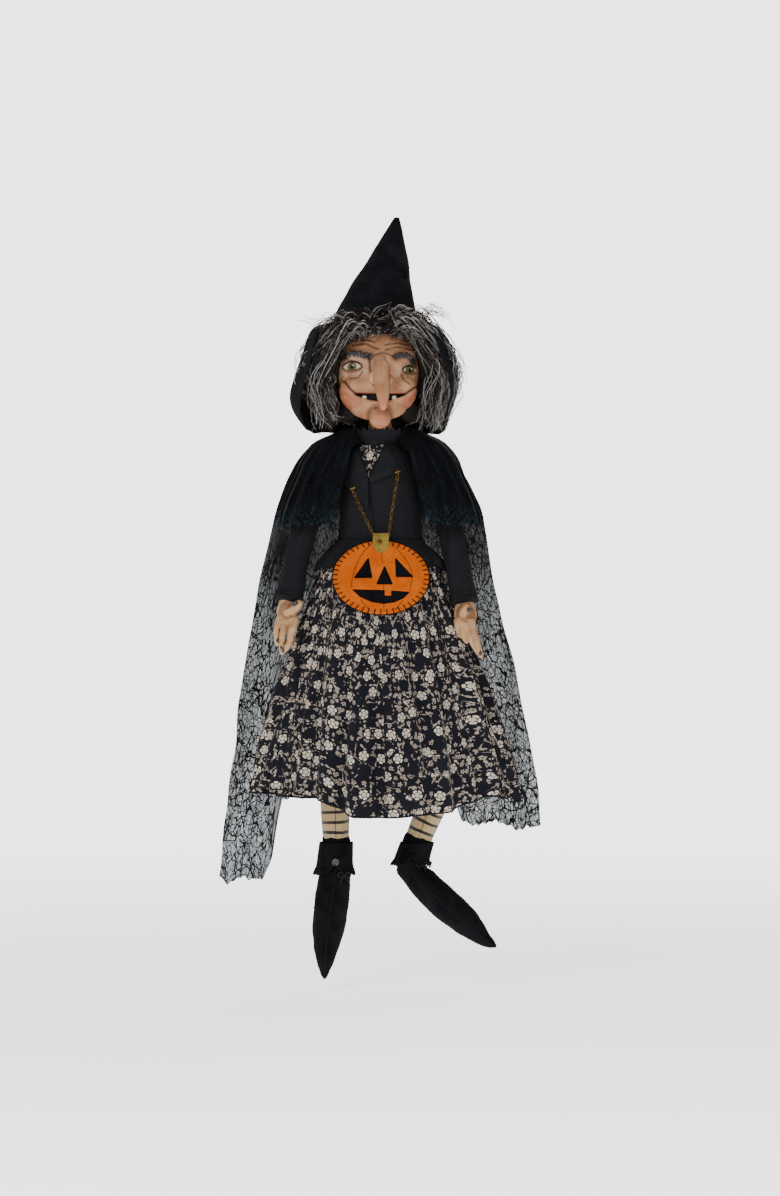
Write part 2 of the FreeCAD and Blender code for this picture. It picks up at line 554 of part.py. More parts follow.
def purse_parts():
    """The felt pumpkin purse, its tab and bead, and the chain that it hangs on."""
    parts = {}
    for name, (front, back) in PURSE_LAYERS.items():
        wires = [oval(PURSE_CENTRE + BACK * y, *PURSE_HALVES, BACK, RIGHT) for y in (front, back)]
        parts[name] = loft(wires)
    cuts = [(EYE_CUTS[0], None), (EYE_CUTS[1], None), (NOSE_CUT, None), (MOUTH_CUT, MOUTH_BOTTOM)]
    for points, arc in cuts:
        parts["purse_front"] = parts["purse_front"].cut(face_cut(points, arc))
    front_y = PURSE_LAYERS["purse_front"][0]
    bottom, top = PURSE_TAB_Z
    half = PURSE_TAB_HALF_WIDTH
    plate = block(Vector(-half, front_y - 1.2, bottom + half), Vector(half, front_y, top))
    tip = rod(Vector(0, front_y - 1.2, bottom + half), Vector(0, front_y, bottom + half), half)
    roll = rod(Vector(-half, front_y + 0.8, top), Vector(half, front_y + 0.8, top), 2.0)
    tab = fused([plate, tip, roll])
    parts["purse_tab"] = tab
    parts["purse_bead"] = Part.makeSphere(BEAD_R, Vector(-0.6, front_y - 1.2 - BEAD_R, -120))
    parts = {name: tilted(shape) for name, shape in parts.items()}
    axis = (CHAIN_TACKS[1] - CHAIN_TACKS[0]).normalize()
    runs = []
    tacks = []
    for tack, x in zip(CHAIN_TACKS, CHAIN_LOWER_XS):
        ring = rod(tack - axis * 0.7, tack + axis * 0.7, CHAIN_RING_R)
        lower = tilted(Part.Vertex(Vector(x, front_y - CHAIN_R - 1, top + 2.2))).Point
        start = tack + (lower - tack).normalize() * (CHAIN_RING_R - 0.5)
        run = fused([rod(start, lower, CHAIN_R), ring])
        runs.append(run.cut(rod(tack - axis * 3, tack + axis * 3, TACK_R + RUNNING_GAP)))
        pin = rod(tack - axis * (TACK_LENGTH / 2), tack + axis * (TACK_LENGTH / 2), TACK_R)
        root = tack - axis * (TACK_LENGTH / 2 - TACK_R)
        tacks.append(pin.fuse(rod(root, root + BACK * 9, TACK_R * 0.8)))
    parts["purse_chain"] = Part.makeCompound([run.cut(parts["purse_tab"]) for run in runs])
    return parts, Part.makeCompound(tacks)


def main():
    parts = trunk_parts()
    parts.update(hanger_parts())
    parts.update(cape_parts())
    parts.update(head_parts())
    for name, data in LIMBS.items():
        parts.update(arm_parts(name, data))
        parts.update(leg_parts(name, data))
    purse, tacks = purse_parts()
    parts.update(purse)
    cloth = [parts[name] for name in ("jacket", "shirt", "jacket_lapels", "torso_form")]
    parts["purse_tacks"] = tacks.cut(cloth)
    os.makedirs("parts", exist_ok=True)
    for name, shape in parts.items():
        shape.exportStep(f"parts/{name}.step")
        print(f"{name}: {len(shape.Solids)} solid(s), {shape.Volume / 1000:.2f} cm3, valid {shape.isValid()}")


main()
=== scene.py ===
import json
import math
import random

import bmesh
import bpy
import numpy as np
from mathutils import Matrix, Vector, noise
from mathutils.bvhtree import BVHTree


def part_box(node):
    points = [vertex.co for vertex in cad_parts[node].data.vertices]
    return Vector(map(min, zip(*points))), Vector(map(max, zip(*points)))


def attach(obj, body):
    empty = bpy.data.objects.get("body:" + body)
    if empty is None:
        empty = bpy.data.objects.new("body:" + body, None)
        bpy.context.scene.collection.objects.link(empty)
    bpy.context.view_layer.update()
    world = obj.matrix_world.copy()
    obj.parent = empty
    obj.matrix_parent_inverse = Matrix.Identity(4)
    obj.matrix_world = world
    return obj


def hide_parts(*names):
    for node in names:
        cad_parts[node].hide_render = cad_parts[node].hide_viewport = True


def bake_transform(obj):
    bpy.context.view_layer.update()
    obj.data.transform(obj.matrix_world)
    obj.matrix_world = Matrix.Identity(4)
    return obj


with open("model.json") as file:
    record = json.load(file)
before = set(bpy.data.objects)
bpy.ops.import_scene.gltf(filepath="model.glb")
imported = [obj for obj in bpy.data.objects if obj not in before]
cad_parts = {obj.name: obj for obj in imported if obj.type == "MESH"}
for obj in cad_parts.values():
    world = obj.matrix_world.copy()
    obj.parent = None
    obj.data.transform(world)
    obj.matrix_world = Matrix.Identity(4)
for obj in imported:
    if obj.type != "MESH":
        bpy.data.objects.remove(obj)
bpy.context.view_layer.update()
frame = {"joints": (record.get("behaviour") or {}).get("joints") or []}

# Everything below is worked out in millimetres in the row frame and scaled to metres when a mesh is made.
MM = 0.001
SIDES = {"right": -1, "left": 1}
JOINTS = {joint["name"]: Vector(joint["pos_m"]) / MM for joint in frame["joints"]}
BODY_Y = JOINTS["neck_turn"].y
INWARD = Vector((0, 1, 0))

# The room: a floor that fades into an even surround, which only the camera sees, and a low ambient light.
FLOOR_RADIUS = 2600
FLOOR_GAP = 12
FLOOR_GLOW = 1.7
AMBIENT = 0.25
SURROUND = 3.4
LIGHT_TARGET = (0, 0, -0.15)
# Name, place in metres, size and power of each soft light.
LIGHTS = (("key", (-1.3, -2.2, 1.5), 1.3, 44), ("fill", (1.8, -2.0, 0.5), 1.6, 15),
          ("front", (0.1, -3.0, -0.1), 1.4, 13), ("back", (1.0, 2.2, 1.4), 1.4, 32),
          ("back_fill", (-1.7, 1.6, 0.4), 1.4, 14))
# The camera looks straight along y at (x, z) VIEW_CENTRE and takes in VIEW_HEIGHT there.
CAMERA_DISTANCE = 4000
VIEW_CENTRE = (10.7, -178)
VIEW_HEIGHT = 1284.5
SENSOR_HEIGHT = 36
CAMERA_LENS = SENSOR_HEIGHT * CAMERA_DISTANCE / VIEW_HEIGHT


def box(node):
    """Lowest and highest corners of a CAD node at rest."""
    low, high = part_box(node)
    return low / MM, high / MM


def centre_of(node):
    low, high = box(node)
    return (low + high) / 2


def part_way(a, b, t):
    """The point a share t of the way from a to b."""
    return tuple(p + (q - p) * t for p, q in zip(a, b))


def shares(count):
    """count values evenly spaced from 0 to 1."""
    return [k / (count - 1) for k in range(count)]


def turns(count):
    """count angles evenly spaced round a circle."""
    return [2 * math.pi * k / count for k in range(count)]


def ease(low, high, value):
    """0 below low, 1 above high, and smooth between."""
    t = min(max((value - low) / (high - low), 0.0), 1.0)
    return t * t * (3 - 2 * t)


def between(stations, at):
    """Values along stations of (position, value, ...), read smoothly at one position."""
    stations = sorted(stations)
    if at <= stations[0][0]:
        return stations[0][1:]
    for left, right in zip(stations, stations[1:]):
        if at <= right[0]:
            t = (at - left[0]) / (right[0] - left[0])
            return part_way(left[1:], right[1:], t)
    return stations[-1][1:]


def softly(stations, at, reach):
    """Like between, with its corners rounded off over a reach."""
    spots = [between(stations, at + reach * share) for share in (-1, -0.5, 0, 0.5, 1)]
    return tuple(sum(values) / 5 for values in zip(*spots))


def curve_through(points, steps):
    """Points on a smooth curve through the given ones."""
    points = [Vector(p) for p in points]
    padded = [points[0] * 2 - points[1]] + points + [points[-1] * 2 - points[-2]]
    out = []
    spans = len(points) - 1
    for k in range(steps + 1):
        place = k / steps * spans
        i = min(int(place), spans - 1)
        t = place - i
        a, b, c, d = padded[i:i + 4]
        out.append(0.5 * ((2 * b) + (c - a) * t + (2 * a - 5 * b + 4 * c - d) * t * t
                          + (3 * b - a - 3 * c + d) * t ** 3))
    return out


def ripple(x, y, z, seed=0.0):
    """Smooth noise from -1 to 1."""
    return noise.noise(Vector((x + seed * 17.3, y - seed * 9.1, z + seed * 5.7)))


# ---------------------------------------------------------------- meshes

def add_object(name, data):
    obj = bpy.data.objects.new(name, data)
    bpy.context.scene.collection.objects.link(obj)
    return obj


def make_object(name, verts, faces, material, uvs=None):
    """A mesh object from points in millimetres; uvs holds one (u, v) for each corner of each face."""
    mesh = bpy.data.meshes.new(name)
    mesh.from_pydata([Vector(v) * MM for v in verts], [], faces)
    if uvs:
        layer = mesh.uv_layers.new(name="UVMap")
        layer.data.foreach_set("uv", np.array(uvs, np.float32).ravel())
    mesh.materials.append(material)
    mesh.polygons.foreach_set("use_smooth", [True] * len(mesh.polygons))
    return add_object(name, mesh)


def sheet_mesh(name, rows, material, closed=False, size=(100, 100)):
    """A surface through rows of points. size is the cloth's real width and length, for its pattern."""
    count = len(rows[0])
    verts = [p for row in rows for p in row]
    faces = []
    uvs = []
    spans = count if closed else count - 1
    for i in range(len(rows) - 1):
        for j in range(spans):
            k = (j + 1) % count
            faces.append((i * count + j, i * count + k, (i + 1) * count + k, (i + 1) * count + j))
            u0, u1 = j / spans * size[0] / 100, (j + 1) / spans * size[0] / 100
            v0, v1 = i / (len(rows) - 1) * size[1] / 100, (i + 1) / (len(rows) - 1) * size[1] / 100
            uvs += [(u0, -v0), (u1, -v0), (u1, -v1), (u0, -v1)]
    return make_object(name, verts, faces, material, uvs)


def apply_modifiers(obj):
    """Replaces obj's mesh by what its modifiers make of it."""
    graph = bpy.context.evaluated_depsgraph_get()
    mesh = bpy.data.meshes.new_from_object(obj.evaluated_get(graph))
    obj.modifiers.clear()
    obj.data = mesh
    mesh.polygons.foreach_set("use_smooth", [True] * len(mesh.polygons))
    return obj


def thicken(obj, thickness, offset=0.0):
    """Gives a sheet thickness: offset 0 puts the sheet in its middle, 1 on its inner face."""
    solid = obj.modifiers.new("Thickness", "SOLIDIFY")
    solid.thickness = thickness * MM
    solid.offset = offset
    return apply_modifiers(obj)


def remeshed(obj, voxel, rounds):
    """Replaces obj's mesh by one smooth closed skin."""
    remesh = obj.modifiers.new("Merge", "REMESH")
    remesh.mode = "VOXEL"
    remesh.voxel_size = voxel * MM
    relax = obj.modifiers.new("Relax", "SMOOTH")
    relax.factor = 0.5
    relax.iterations = rounds
    return apply_modifiers(obj)


class Strands:
    """Many thin tubes gathered into one mesh, each with a tone from 0 to 1."""

    def __init__(self, *lines):
        self.verts, self.faces, self.tones = [], [], []
        for line in lines:
            self.add(*line)

    def add(self, points, radii, tone=0.5, sides=4, closed=False):
        start = len(self.verts)
        count = len(points)
        frame_side = None
        for i, point in enumerate(points):
            ahead = points[(i + 1) % count] if closed else points[min(i + 1, count - 1)]
            behind = points[i - 1] if closed or i else points[0]
            along = (ahead - behind).normalized()
            if frame_side is None:
                frame_side = along.orthogonal().normalized()
            frame_side = (frame_side - along * frame_side.dot(along)).normalized()
            across = along.cross(frame_side)
            radius = radii[i] if hasattr(radii, "__len__") else radii
            for turn in turns(sides):
                self.verts.append(point + (frame_side * math.cos(turn) + across * math.sin(turn)) * radius)
                self.tones.append(tone)
        for i in range(count if closed else count - 1):
            a, b = start + i * sides, start + (i + 1) % count * sides
            for s in range(sides):
                t = (s + 1) % sides
                self.faces.append((a + s, a + t, b + t, b + s))
        if not closed:
            self.faces.append(tuple(start + s for s in reversed(range(sides))))
            self.faces.append(tuple(start + (count - 1) * sides + s for s in range(sides)))

    def make(self, name, material):
        obj = make_object(name, self.verts, self.faces, material)
        attribute = obj.data.attributes.new("tone", "FLOAT", "POINT")
        attribute.data.foreach_set("value", self.tones)
        return obj


def chain(points, radii, steps=12):
    """Overlapping balls along a curve: (centre, (radius, radius, radius))."""
    line = curve_through(points, steps)
    stations = [(k / (len(radii) - 1), r) for k, r in enumerate(radii)]
    balls = []
    for k, point in enumerate(line):
        balls.append((point, between(stations, k / steps) * 3))
    return balls


def merged(name, blobs, voxel, material, rounds=6):
    """One smooth closed form from overlapping ellipsoids (centre, three half sizes)."""
    bm = bmesh.new()
    for centre, halves in blobs:
        place = Matrix.Translation(Vector(centre) * MM) @ Matrix.Diagonal(Vector(halves) * MM).to_4x4()
        bmesh.ops.create_icosphere(bm, subdivisions=3, radius=1, matrix=place)
    mesh = bpy.data.meshes.new(name)
    bm.to_mesh(mesh)
    bm.free()
    mesh.materials.append(material)
    return remeshed(add_object(name, mesh), voxel, rounds)


def points_of(obj):
    coordinates = np.empty(len(obj.data.vertices) * 3)
    obj.data.vertices.foreach_get("co", coordinates)
    return coordinates.reshape(-1, 3) / MM


def set_points(obj, points):
    obj.data.vertices.foreach_set("co", (points * MM).ravel())
    obj.data.update()


def normals_of(obj):
    normals = np.empty(len(obj.data.vertices) * 3)
    obj.data.vertices.foreach_get("normal", normals)
    return normals.reshape(-1, 3)


def surface_of(obj):
    faces = [face.vertices for face in obj.data.polygons]
    return BVHTree.FromPolygons([vertex.co / MM for vertex in obj.data.vertices], faces)


def roughen(obj, *layers):
    """Moves obj's surface in and out by layers of noise, each (depth, size, seed)."""
    points = points_of(obj)
    depths = sum(depth * noise_over(points, size, seed) for depth, size, seed in layers)
    points += normals_of(obj) * depths[:, None]
    set_points(obj, points)
    return points


def front_of(surface, x, z):
    """Where a line from the front at (x, z) first meets a surface, or None."""
    return surface.ray_cast(Vector((x, -200, z)), INWARD)[0]


def line_distance(line, x, z):
    """How far each (x, z) is from a line of (x, z) points."""
    best = np.full(len(x), 1e9)
    for (ax, az), (bx, bz) in zip(line, line[1:]):
        dx, dz = bx - ax, bz - az
        t = np.clip(((x - ax) * dx + (z - az) * dz) / (dx * dx + dz * dz), 0, 1)
        best = np.minimum(best, np.hypot(x - ax - t * dx, z - az - t * dz))
    return best


def bell(distance, width):
    """1 at no distance, falling smoothly to nothing over about twice the width."""
    return np.exp(-(distance / width) ** 2)


# ---------------------------------------------------------------- materials

class Shader:
    """A node material with short calls for the nodes that are used here."""

    def __init__(self, name, roughness=0.8, sheen=0.0, specular=0.3, metallic=0.0, coat=0.0):
        self.material = bpy.data.materials.new(name)
        self.material.use_nodes = True
        self.nodes = self.material.node_tree.nodes
        self.links = self.material.node_tree.links
        self.surface = self.nodes["Principled BSDF"]
        settings = {"Roughness": roughness, "Sheen Weight": sheen, "Specular IOR Level": specular,
                    "Metallic": metallic, "Coat Weight": coat}
        for socket, value in settings.items():
            self.surface.inputs[socket].default_value = value
        self.coords = self.nodes.new("ShaderNodeTexCoord")

    def set(self, node, socket, value):
        """Links value to a socket if it is one, or else sets it there."""
        if isinstance(value, bpy.types.NodeSocket):
            self.links.new(value, node.inputs[socket])
        elif value is not None:
            node.inputs[socket].default_value = value

    def math(self, operation, a, b=None):
        node = self.nodes.new("ShaderNodeMath")
        node.operation = operation
        self.set(node, 0, a)
        self.set(node, 1, b)
        return node.outputs[0]

    def times(self, a, b):
        return self.math("MULTIPLY", a, b)

    def plus(self, a, b):
        return self.math("ADD", a, b)

    def most(self, a, b):
        return self.math("MAXIMUM", a, b)

    def vector(self, operation, a, b=None, scale=None):
        node = self.nodes.new("ShaderNodeVectorMath")
        node.operation = operation
        self.set(node, 0, a)
        self.set(node, 1, b)
        if scale is not None:
            self.set(node, "Scale", scale)
        return node.outputs["Vector"]

    def split(self, vector):
        node = self.nodes.new("ShaderNodeSeparateXYZ")
        self.set(node, 0, vector)
        return node.outputs

    def noise(self, scale, detail=2.0, vector=None, rough=0.5):
        node = self.nodes.new("ShaderNodeTexNoise")
        self.set(node, "Vector", vector or self.coords.outputs["Object"])
        for socket, value in (("Scale", scale), ("Detail", detail), ("Roughness", rough)):
            self.set(node, socket, value)
        return node.outputs["Fac"]

    def shaken(self, vector, scale, amount):
        """Coordinates pushed about by noise."""
        node = self.nodes.new("ShaderNodeTexNoise")
        self.set(node, "Vector", vector)
        self.set(node, "Scale", scale)
        push = self.vector("SUBTRACT", node.outputs["Color"], (0.5, 0.5, 0.5))
        return self.vector("ADD", vector, self.vector("SCALE", push, scale=amount))

    def cells(self, scale, vector, randomness):
        node = self.nodes.new("ShaderNodeTexVoronoi")
        self.set(node, "Vector", vector)
        self.set(node, "Scale", scale)
        self.set(node, "Randomness", randomness)
        return node

    def cell_edges(self, scale, vector):
        """The distance to the nearest border between scattered cells."""
        node = self.cells(scale, vector, 1.0)
        node.feature = "DISTANCE_TO_EDGE"
        return node.outputs["Distance"]

    def threads(self, scale, direction, vector=None):
        node = self.nodes.new("ShaderNodeTexWave")
        node.bands_direction = direction
        self.set(node, "Vector", vector or self.coords.outputs["Object"])
        self.set(node, "Scale", scale)
        self.set(node, "Distortion", 0.6)
        return node.outputs["Fac"]

    def stretch(self, x, y, z, vector=None):
        node = self.nodes.new("ShaderNodeMapping")
        self.set(node, "Vector", vector or self.coords.outputs["Object"])
        node.inputs["Scale"].default_value = (x, y, z)
        return node.outputs[0]

    def step(self, value, low, high):
        """0 below low and 1 above high, or the other way round if low is more than high."""
        node = self.nodes.new("ShaderNodeMapRange")
        node.interpolation_type = "SMOOTHSTEP"
        rising = low < high
        self.set(node, "Value", value)
        self.set(node, "From Min", min(low, high))
        self.set(node, "From Max", max(low, high))
        self.set(node, "To Min", 0.0 if rising else 1.0)
        self.set(node, "To Max", 1.0 if rising else 0.0)
        return node.outputs["Result"]

    def mix(self, factor, a, b, blend="MIX"):
        node = self.nodes.new("ShaderNodeMix")
        node.data_type = "RGBA"
        node.blend_type = blend
        for index, value in ((0, factor), (6, a), (7, b)):
            if isinstance(value, tuple):
                value = (*value, 1.0)
            self.set(node, index, value)
        return node.outputs[2]

    def attribute(self, name, output="Fac"):
        node = self.nodes.new("ShaderNodeAttribute")
        node.attribute_name = name
        return node.outputs[output]

    def colour(self, value):
        self.set(self.surface, "Base Color", value)

    def rough(self, value, low, high):
        node = self.nodes.new("ShaderNodeMapRange")
        self.set(node, "Value", value)
        self.set(node, "To Min", low)
        self.set(node, "To Max", high)
        self.set(self.surface, "Roughness", node.outputs["Result"])

    def bump(self, height, depth, strength=1.0):
        node = self.nodes.new("ShaderNodeBump")
        node.inputs["Strength"].default_value = strength
        node.inputs["Distance"].default_value = depth * MM
        self.set(node, "Height", height)
        self.set(self.surface, "Normal", node.outputs[0])


def woven(name, dark, light, pitch=0.6, sheen=0.01):
    """Plain woven cotton: crossing threads, slubs and faint crumples."""
    s = Shader(name, roughness=0.85, sheen=sheen, specular=0.05)
    turns = 2 * math.pi / 20 / (pitch * MM)
    weave = s.times(s.threads(turns, "X"), s.threads(turns, "Z"))
    slubs = s.noise(260, 4, s.stretch(1, 1, 4))
    crumple = s.noise(45, 3)
    s.colour(s.mix(s.times(s.plus(weave, slubs), 0.6), dark, light))
    s.rough(slubs, 0.75, 0.95)
    s.bump(s.plus(s.times(weave, 0.3), crumple), 0.7, 0.6)
    return s.material


def felt(name, dark, light, sheen=0.4):
    """Wool felt: matted fibres, no weave."""
    s = Shader(name, roughness=0.95, sheen=sheen, specular=0.05)
    fibres = s.noise(900, 5, s.stretch(1, 1.6, 0.7), 0.7)
    clouds = s.noise(60, 3)
    s.colour(s.mix(s.step(s.plus(s.times(fibres, 0.7), s.times(clouds, 0.3)),
                          0.35, 0.7), dark, light))
    s.bump(s.plus(fibres, s.times(clouds, 0.6)), 0.5, 0.7)
    return s.material


def metal(name, base, tarnish, roughness):
    s = Shader(name, roughness=roughness, specular=0.5, metallic=1.0)
    stains = s.noise(220, 4)
    s.colour(s.mix(s.step(stains, 0.35, 0.7), base, tarnish))
    s.rough(stains, roughness - 0.1, roughness + 0.25)
    s.bump(s.noise(1200, 2, s.stretch(1, 1, 0.2)), 0.05, 0.4)
    return s.material


def gloss(name, base, variation, roughness=0.25):
    s = Shader(name, roughness=roughness, specular=0.5, coat=0.3)
    mottles = s.noise(300, 3)
    s.colour(s.mix(mottles, base, variation))
    s.bump(mottles, 0.08, 0.4)
    return s.material


def printed_cotton():
    """Black cotton with cream blooms, small blossoms, leaves, dots and sprigs, laid out in cloth coordinates,
    where 1 is 100 mm."""
    s = Shader("print_cotton", roughness=0.85, sheen=0.03, specular=0.08)
    cloth = s.coords.outputs["UV"]

    def motif(density, size, petals, depth, keep, shift, power=0.6):
        """One kind of flower or leaf in scattered cells: whether a point is inside its outline, the point's
        distance from its middle, and how far along a petal it is."""
        placed = s.vector("ADD", cloth, (shift, shift * 0.7, 0))
        cells = s.cells(density, placed, 0.75)
        local = s.vector("SCALE", s.vector("SUBTRACT", placed, cells.outputs["Position"]), scale=density)
        chance = s.split(cells.outputs["Color"])
        x, y, _ = s.split(local)
        angle = s.plus(s.math("ARCTAN2", y, x), s.times(chance[0], 6.283))
        radius = s.math("SQRT", s.plus(s.times(x, x), s.times(y, y)))
        lobes = s.math("ABSOLUTE", s.math("COSINE", s.times(angle, petals / 2)))
        lobes = s.math("POWER", lobes, power)
        outline = s.times(s.plus(s.times(lobes, depth), 1 - depth), size)
        inside = s.step(s.math("SUBTRACT", outline, radius), 0.0, 0.04)
        kept = s.math("LESS_THAN", chance[1], keep)
        return s.times(inside, kept), radius, lobes

    bloom, bloom_radius, bloom_lobes = motif(4.6, 0.29, 5, 0.42, 0.62, 0.0)
    small, small_radius, _ = motif(12.5, 0.36, 5, 0.75, 0.50, 3.1)
    tiny, _, _ = motif(22.0, 0.27, 4, 0.5, 0.2, 7.7)
    leaf, _, _ = motif(9.0, 0.48, 2, 0.96, 0.45, 5.3, 7.0)
    edge = s.cell_edges(5.2, s.shaken(cloth, 9.0, 0.05))
    sprig = s.times(s.step(edge, 0.022, 0.010), s.step(s.noise(7, 2, cloth), 0.50, 0.58))
    clear = s.step(bloom_radius, 0.28, 0.34)
    minor = s.times(s.most(s.most(small, tiny), s.most(leaf, sprig)),
                   clear)
    petal_lines = s.step(s.math("ABSOLUTE", s.math("SINE", s.times(bloom_radius, 24.0))), 0.25, 0.5)
    petal_gaps = s.step(bloom_lobes, 0.35, 0.6)
    heart = s.step(small_radius, 0.06, 0.11)
    lit = s.most(s.times(s.times(bloom, petal_lines), petal_gaps),
                 s.times(minor, heart))
    dull = s.mix(s.noise(30, 2, cloth), (0.26, 0.21, 0.17), (0.44, 0.37, 0.31))
    cream = s.mix(bloom, dull, (0.70, 0.61, 0.50))
    ground = s.mix(s.noise(4, 2, cloth), (0.006, 0.006, 0.009), (0.014, 0.015, 0.021))
    worn = s.times(lit, s.step(s.noise(60, 3, cloth), 0.18, 0.42))
    s.colour(s.mix(worn, ground, cream))
    weave = s.times(s.threads(55.0, "X", cloth), s.threads(55.0, "Y", cloth))
    s.bump(s.plus(s.times(weave, 0.4), s.noise(22, 3, cloth)), 0.5, 0.6)
    return s.material


# Each layer of the web: cells in 100 mm, how they are stretched across and along, and their lines' width.
WEB_LAYERS = ((6.5, 1.0, 0.55, 0.055), (8.0, 0.6, 1.0, 0.050), (11.0, 1.1, 0.8, 0.055),
              (16.0, 0.8, 0.5, 0.060))


def net_material():
    """Fine blue-grey net crossed by a web of thin black lines; where it is gathered it is nearly black."""
    s = Shader("web_net", roughness=0.8, sheen=0.02, specular=0.08)
    cloth = s.coords.outputs["UV"]
    jag = s.shaken(cloth, 5.0, 0.08)
    webs = None
    for scale, across, along, width in WEB_LAYERS:
        edge = s.cell_edges(scale, s.stretch(across, along, 1.0, jag))
        line = s.step(edge, width, width * 0.5)
        webs = line if webs is None else s.most(webs, line)
    mesh = s.times(s.threads(70.0, "X", cloth), s.threads(70.0, "Y", cloth))
    crinkle = s.noise(12, 4, cloth)
    gather = s.attribute("gather")
    thin = s.plus(s.times(crinkle, 0.3), s.plus(s.times(mesh, 0.06), 0.66))
    body = s.most(thin, webs)
    alpha = s.plus(s.times(body, s.math("SUBTRACT", 1.0, gather)), gather)
    s.set(s.surface, "Alpha", s.math("MINIMUM", alpha, 0.998))
    dark = s.most(webs, s.math("POWER", gather, 0.7))
    s.colour(s.mix(dark, (0.045, 0.115, 0.145), (0.002, 0.002, 0.003)))
    s.bump(s.plus(webs, crinkle), 0.5, 0.6)
    return s.material


def painted(name, roughness=0.55, grain=500):
    """Cast resin painted by hand: the colour is on the mesh, under brush mottling and a worn wash."""
    s = Shader(name, roughness=roughness, specular=0.35)
    paint = s.attribute("paint", "Color")
    brush = s.noise(90, 4, s.stretch(1, 1, 0.5))
    speckle = s.noise(grain, 3)
    worn = s.mix(s.step(brush, 0.3, 0.75), (0.80, 0.72, 0.68), (1.0, 1.0, 1.0))
    s.colour(s.mix(1.0, paint, worn, "MULTIPLY"))
    s.rough(speckle, roughness - 0.12, roughness + 0.15)
    s.bump(s.plus(brush, speckle), 0.25, 0.5)
    return s.material


def stocking_material():
    """Cream knit with thin black stripes round the leg; cloth coordinates run down the leg, 1 for 100 mm."""
    s = Shader("stocking", roughness=0.9, sheen=0.4, specular=0.15)
    cloth = s.coords.outputs["UV"]
    down = s.times(s.split(cloth)[1], -1.0)
    wobble = s.times(s.noise(3, 2, cloth), 0.05)
    phase = s.math("FRACT", s.times(s.plus(down, wobble), 9.6))
    stripe = s.step(s.math("ABSOLUTE", s.math("SUBTRACT", phase, 0.5)), 0.17, 0.125)
    knit = s.times(s.threads(40.0, "X", cloth), s.threads(28.0, "Y", cloth))
    cream = s.mix(s.plus(s.times(knit, 0.5), s.noise(8, 3, cloth)), (0.34, 0.22, 0.10),
                  (0.50, 0.36, 0.19))
    s.colour(s.mix(stripe, cream, (0.014, 0.012, 0.012)))
    s.bump(s.plus(knit, s.noise(40, 2, cloth)), 0.5, 0.6)
    return s.material


def hair_material():
    s = Shader("hair", roughness=0.55, specular=0.18)
    tone = s.attribute("tone")
    ramp = s.nodes.new("ShaderNodeValToRGB")
    s.set(ramp, "Fac", tone)
    stops = [(0.0, (0.006, 0.005, 0.005)), (0.35, (0.03, 0.018, 0.012)), (0.55, (0.10, 0.08, 0.065)),
             (0.75, (0.30, 0.28, 0.26)), (1.0, (0.72, 0.70, 0.67))]
    while len(ramp.color_ramp.elements) < len(stops):
        ramp.color_ramp.elements.new(0.5)
    for element, (place, colour) in zip(ramp.color_ramp.elements, stops):
        element.position = place
        element.color = (*colour, 1.0)
    streak = s.noise(700, 3, s.stretch(1, 1, 0.15))
    s.colour(s.mix(s.times(streak, 0.5), ramp.outputs[0], (0.02, 0.015, 0.012)))
    s.bump(streak, 0.1, 0.5)
    return s.material


MATERIALS = {
    "hat_felt": felt("hat_felt", (0.003, 0.003, 0.004), (0.015, 0.016, 0.019), 0.02),
    "black_cotton": woven("black_cotton", (0.006, 0.006, 0.007), (0.024, 0.025, 0.029)),
    "black_felt": felt("black_felt", (0.002, 0.002, 0.003), (0.011, 0.011, 0.013), 0.01),
    "orange_felt": felt("orange_felt", (0.44, 0.072, 0.003), (0.70, 0.145, 0.008), 0.03),
    "body_calico": woven("body_calico", (0.42, 0.34, 0.24), (0.62, 0.54, 0.41)),
    "mustard_suede": felt("mustard_suede", (0.17, 0.11, 0.015), (0.36, 0.26, 0.06), 0.1),
    "print_cotton": printed_cotton(),
    "web_net": net_material(),
    "stocking": stocking_material(),
    "hair": hair_material(),
    "painted_resin": painted("painted_resin"),
    "hand_resin": painted("hand_resin", 0.6, 700),
    "tooth": gloss("tooth", (0.62, 0.52, 0.34), (0.80, 0.74, 0.60)),
    "button_black": gloss("button_black", (0.006, 0.006, 0.007), (0.02, 0.02, 0.022), 0.3),
    "brass": metal("brass", (0.30, 0.16, 0.04), (0.09, 0.045, 0.014), 0.42),
    "steel_rod": metal("steel_rod", (0.45, 0.45, 0.46), (0.30, 0.29, 0.28), 0.35),
}
BLACK_THREAD = woven("black_thread", (0.004, 0.004, 0.004), (0.02, 0.02, 0.02), 0.3)


def piece(obj, body, slot, *nodes):
    """Rides obj on a body and hides the CAD nodes it stands for; slot is not used."""
    if nodes:
        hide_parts(*nodes)
    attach(obj, body)


def arc(points):
    return sum((b - a).length for a, b in zip(points, points[1:]))


def cloth(name, rows, slot, body, node, held, rests_on, closed=False, size=(100, 100), thick=0.0, offset=0.0):
    """A sheet of cloth through rows of points, which stands for a CAD node and rides on a body."""
    obj = sheet_mesh(name, rows, MATERIALS[slot], closed, size)
    if thick:
        thicken(obj, thick, offset)
    piece(obj, body, slot, node)


def crossing(obj, slot, bodies, start, end, *nodes):
    """Hides the CAD nodes that a soft piece stands for and bakes its transform into its mesh; bodies, start
    and end are not used.
    """
    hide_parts(*nodes)
    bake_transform(obj)


def trim(name, body, *lines, slot="black_cotton", material=None):
    """Edges, seams and threads, each line given as Strands.add takes it."""
    piece(Strands(*lines).make(name, material or MATERIALS[slot]), body, slot)


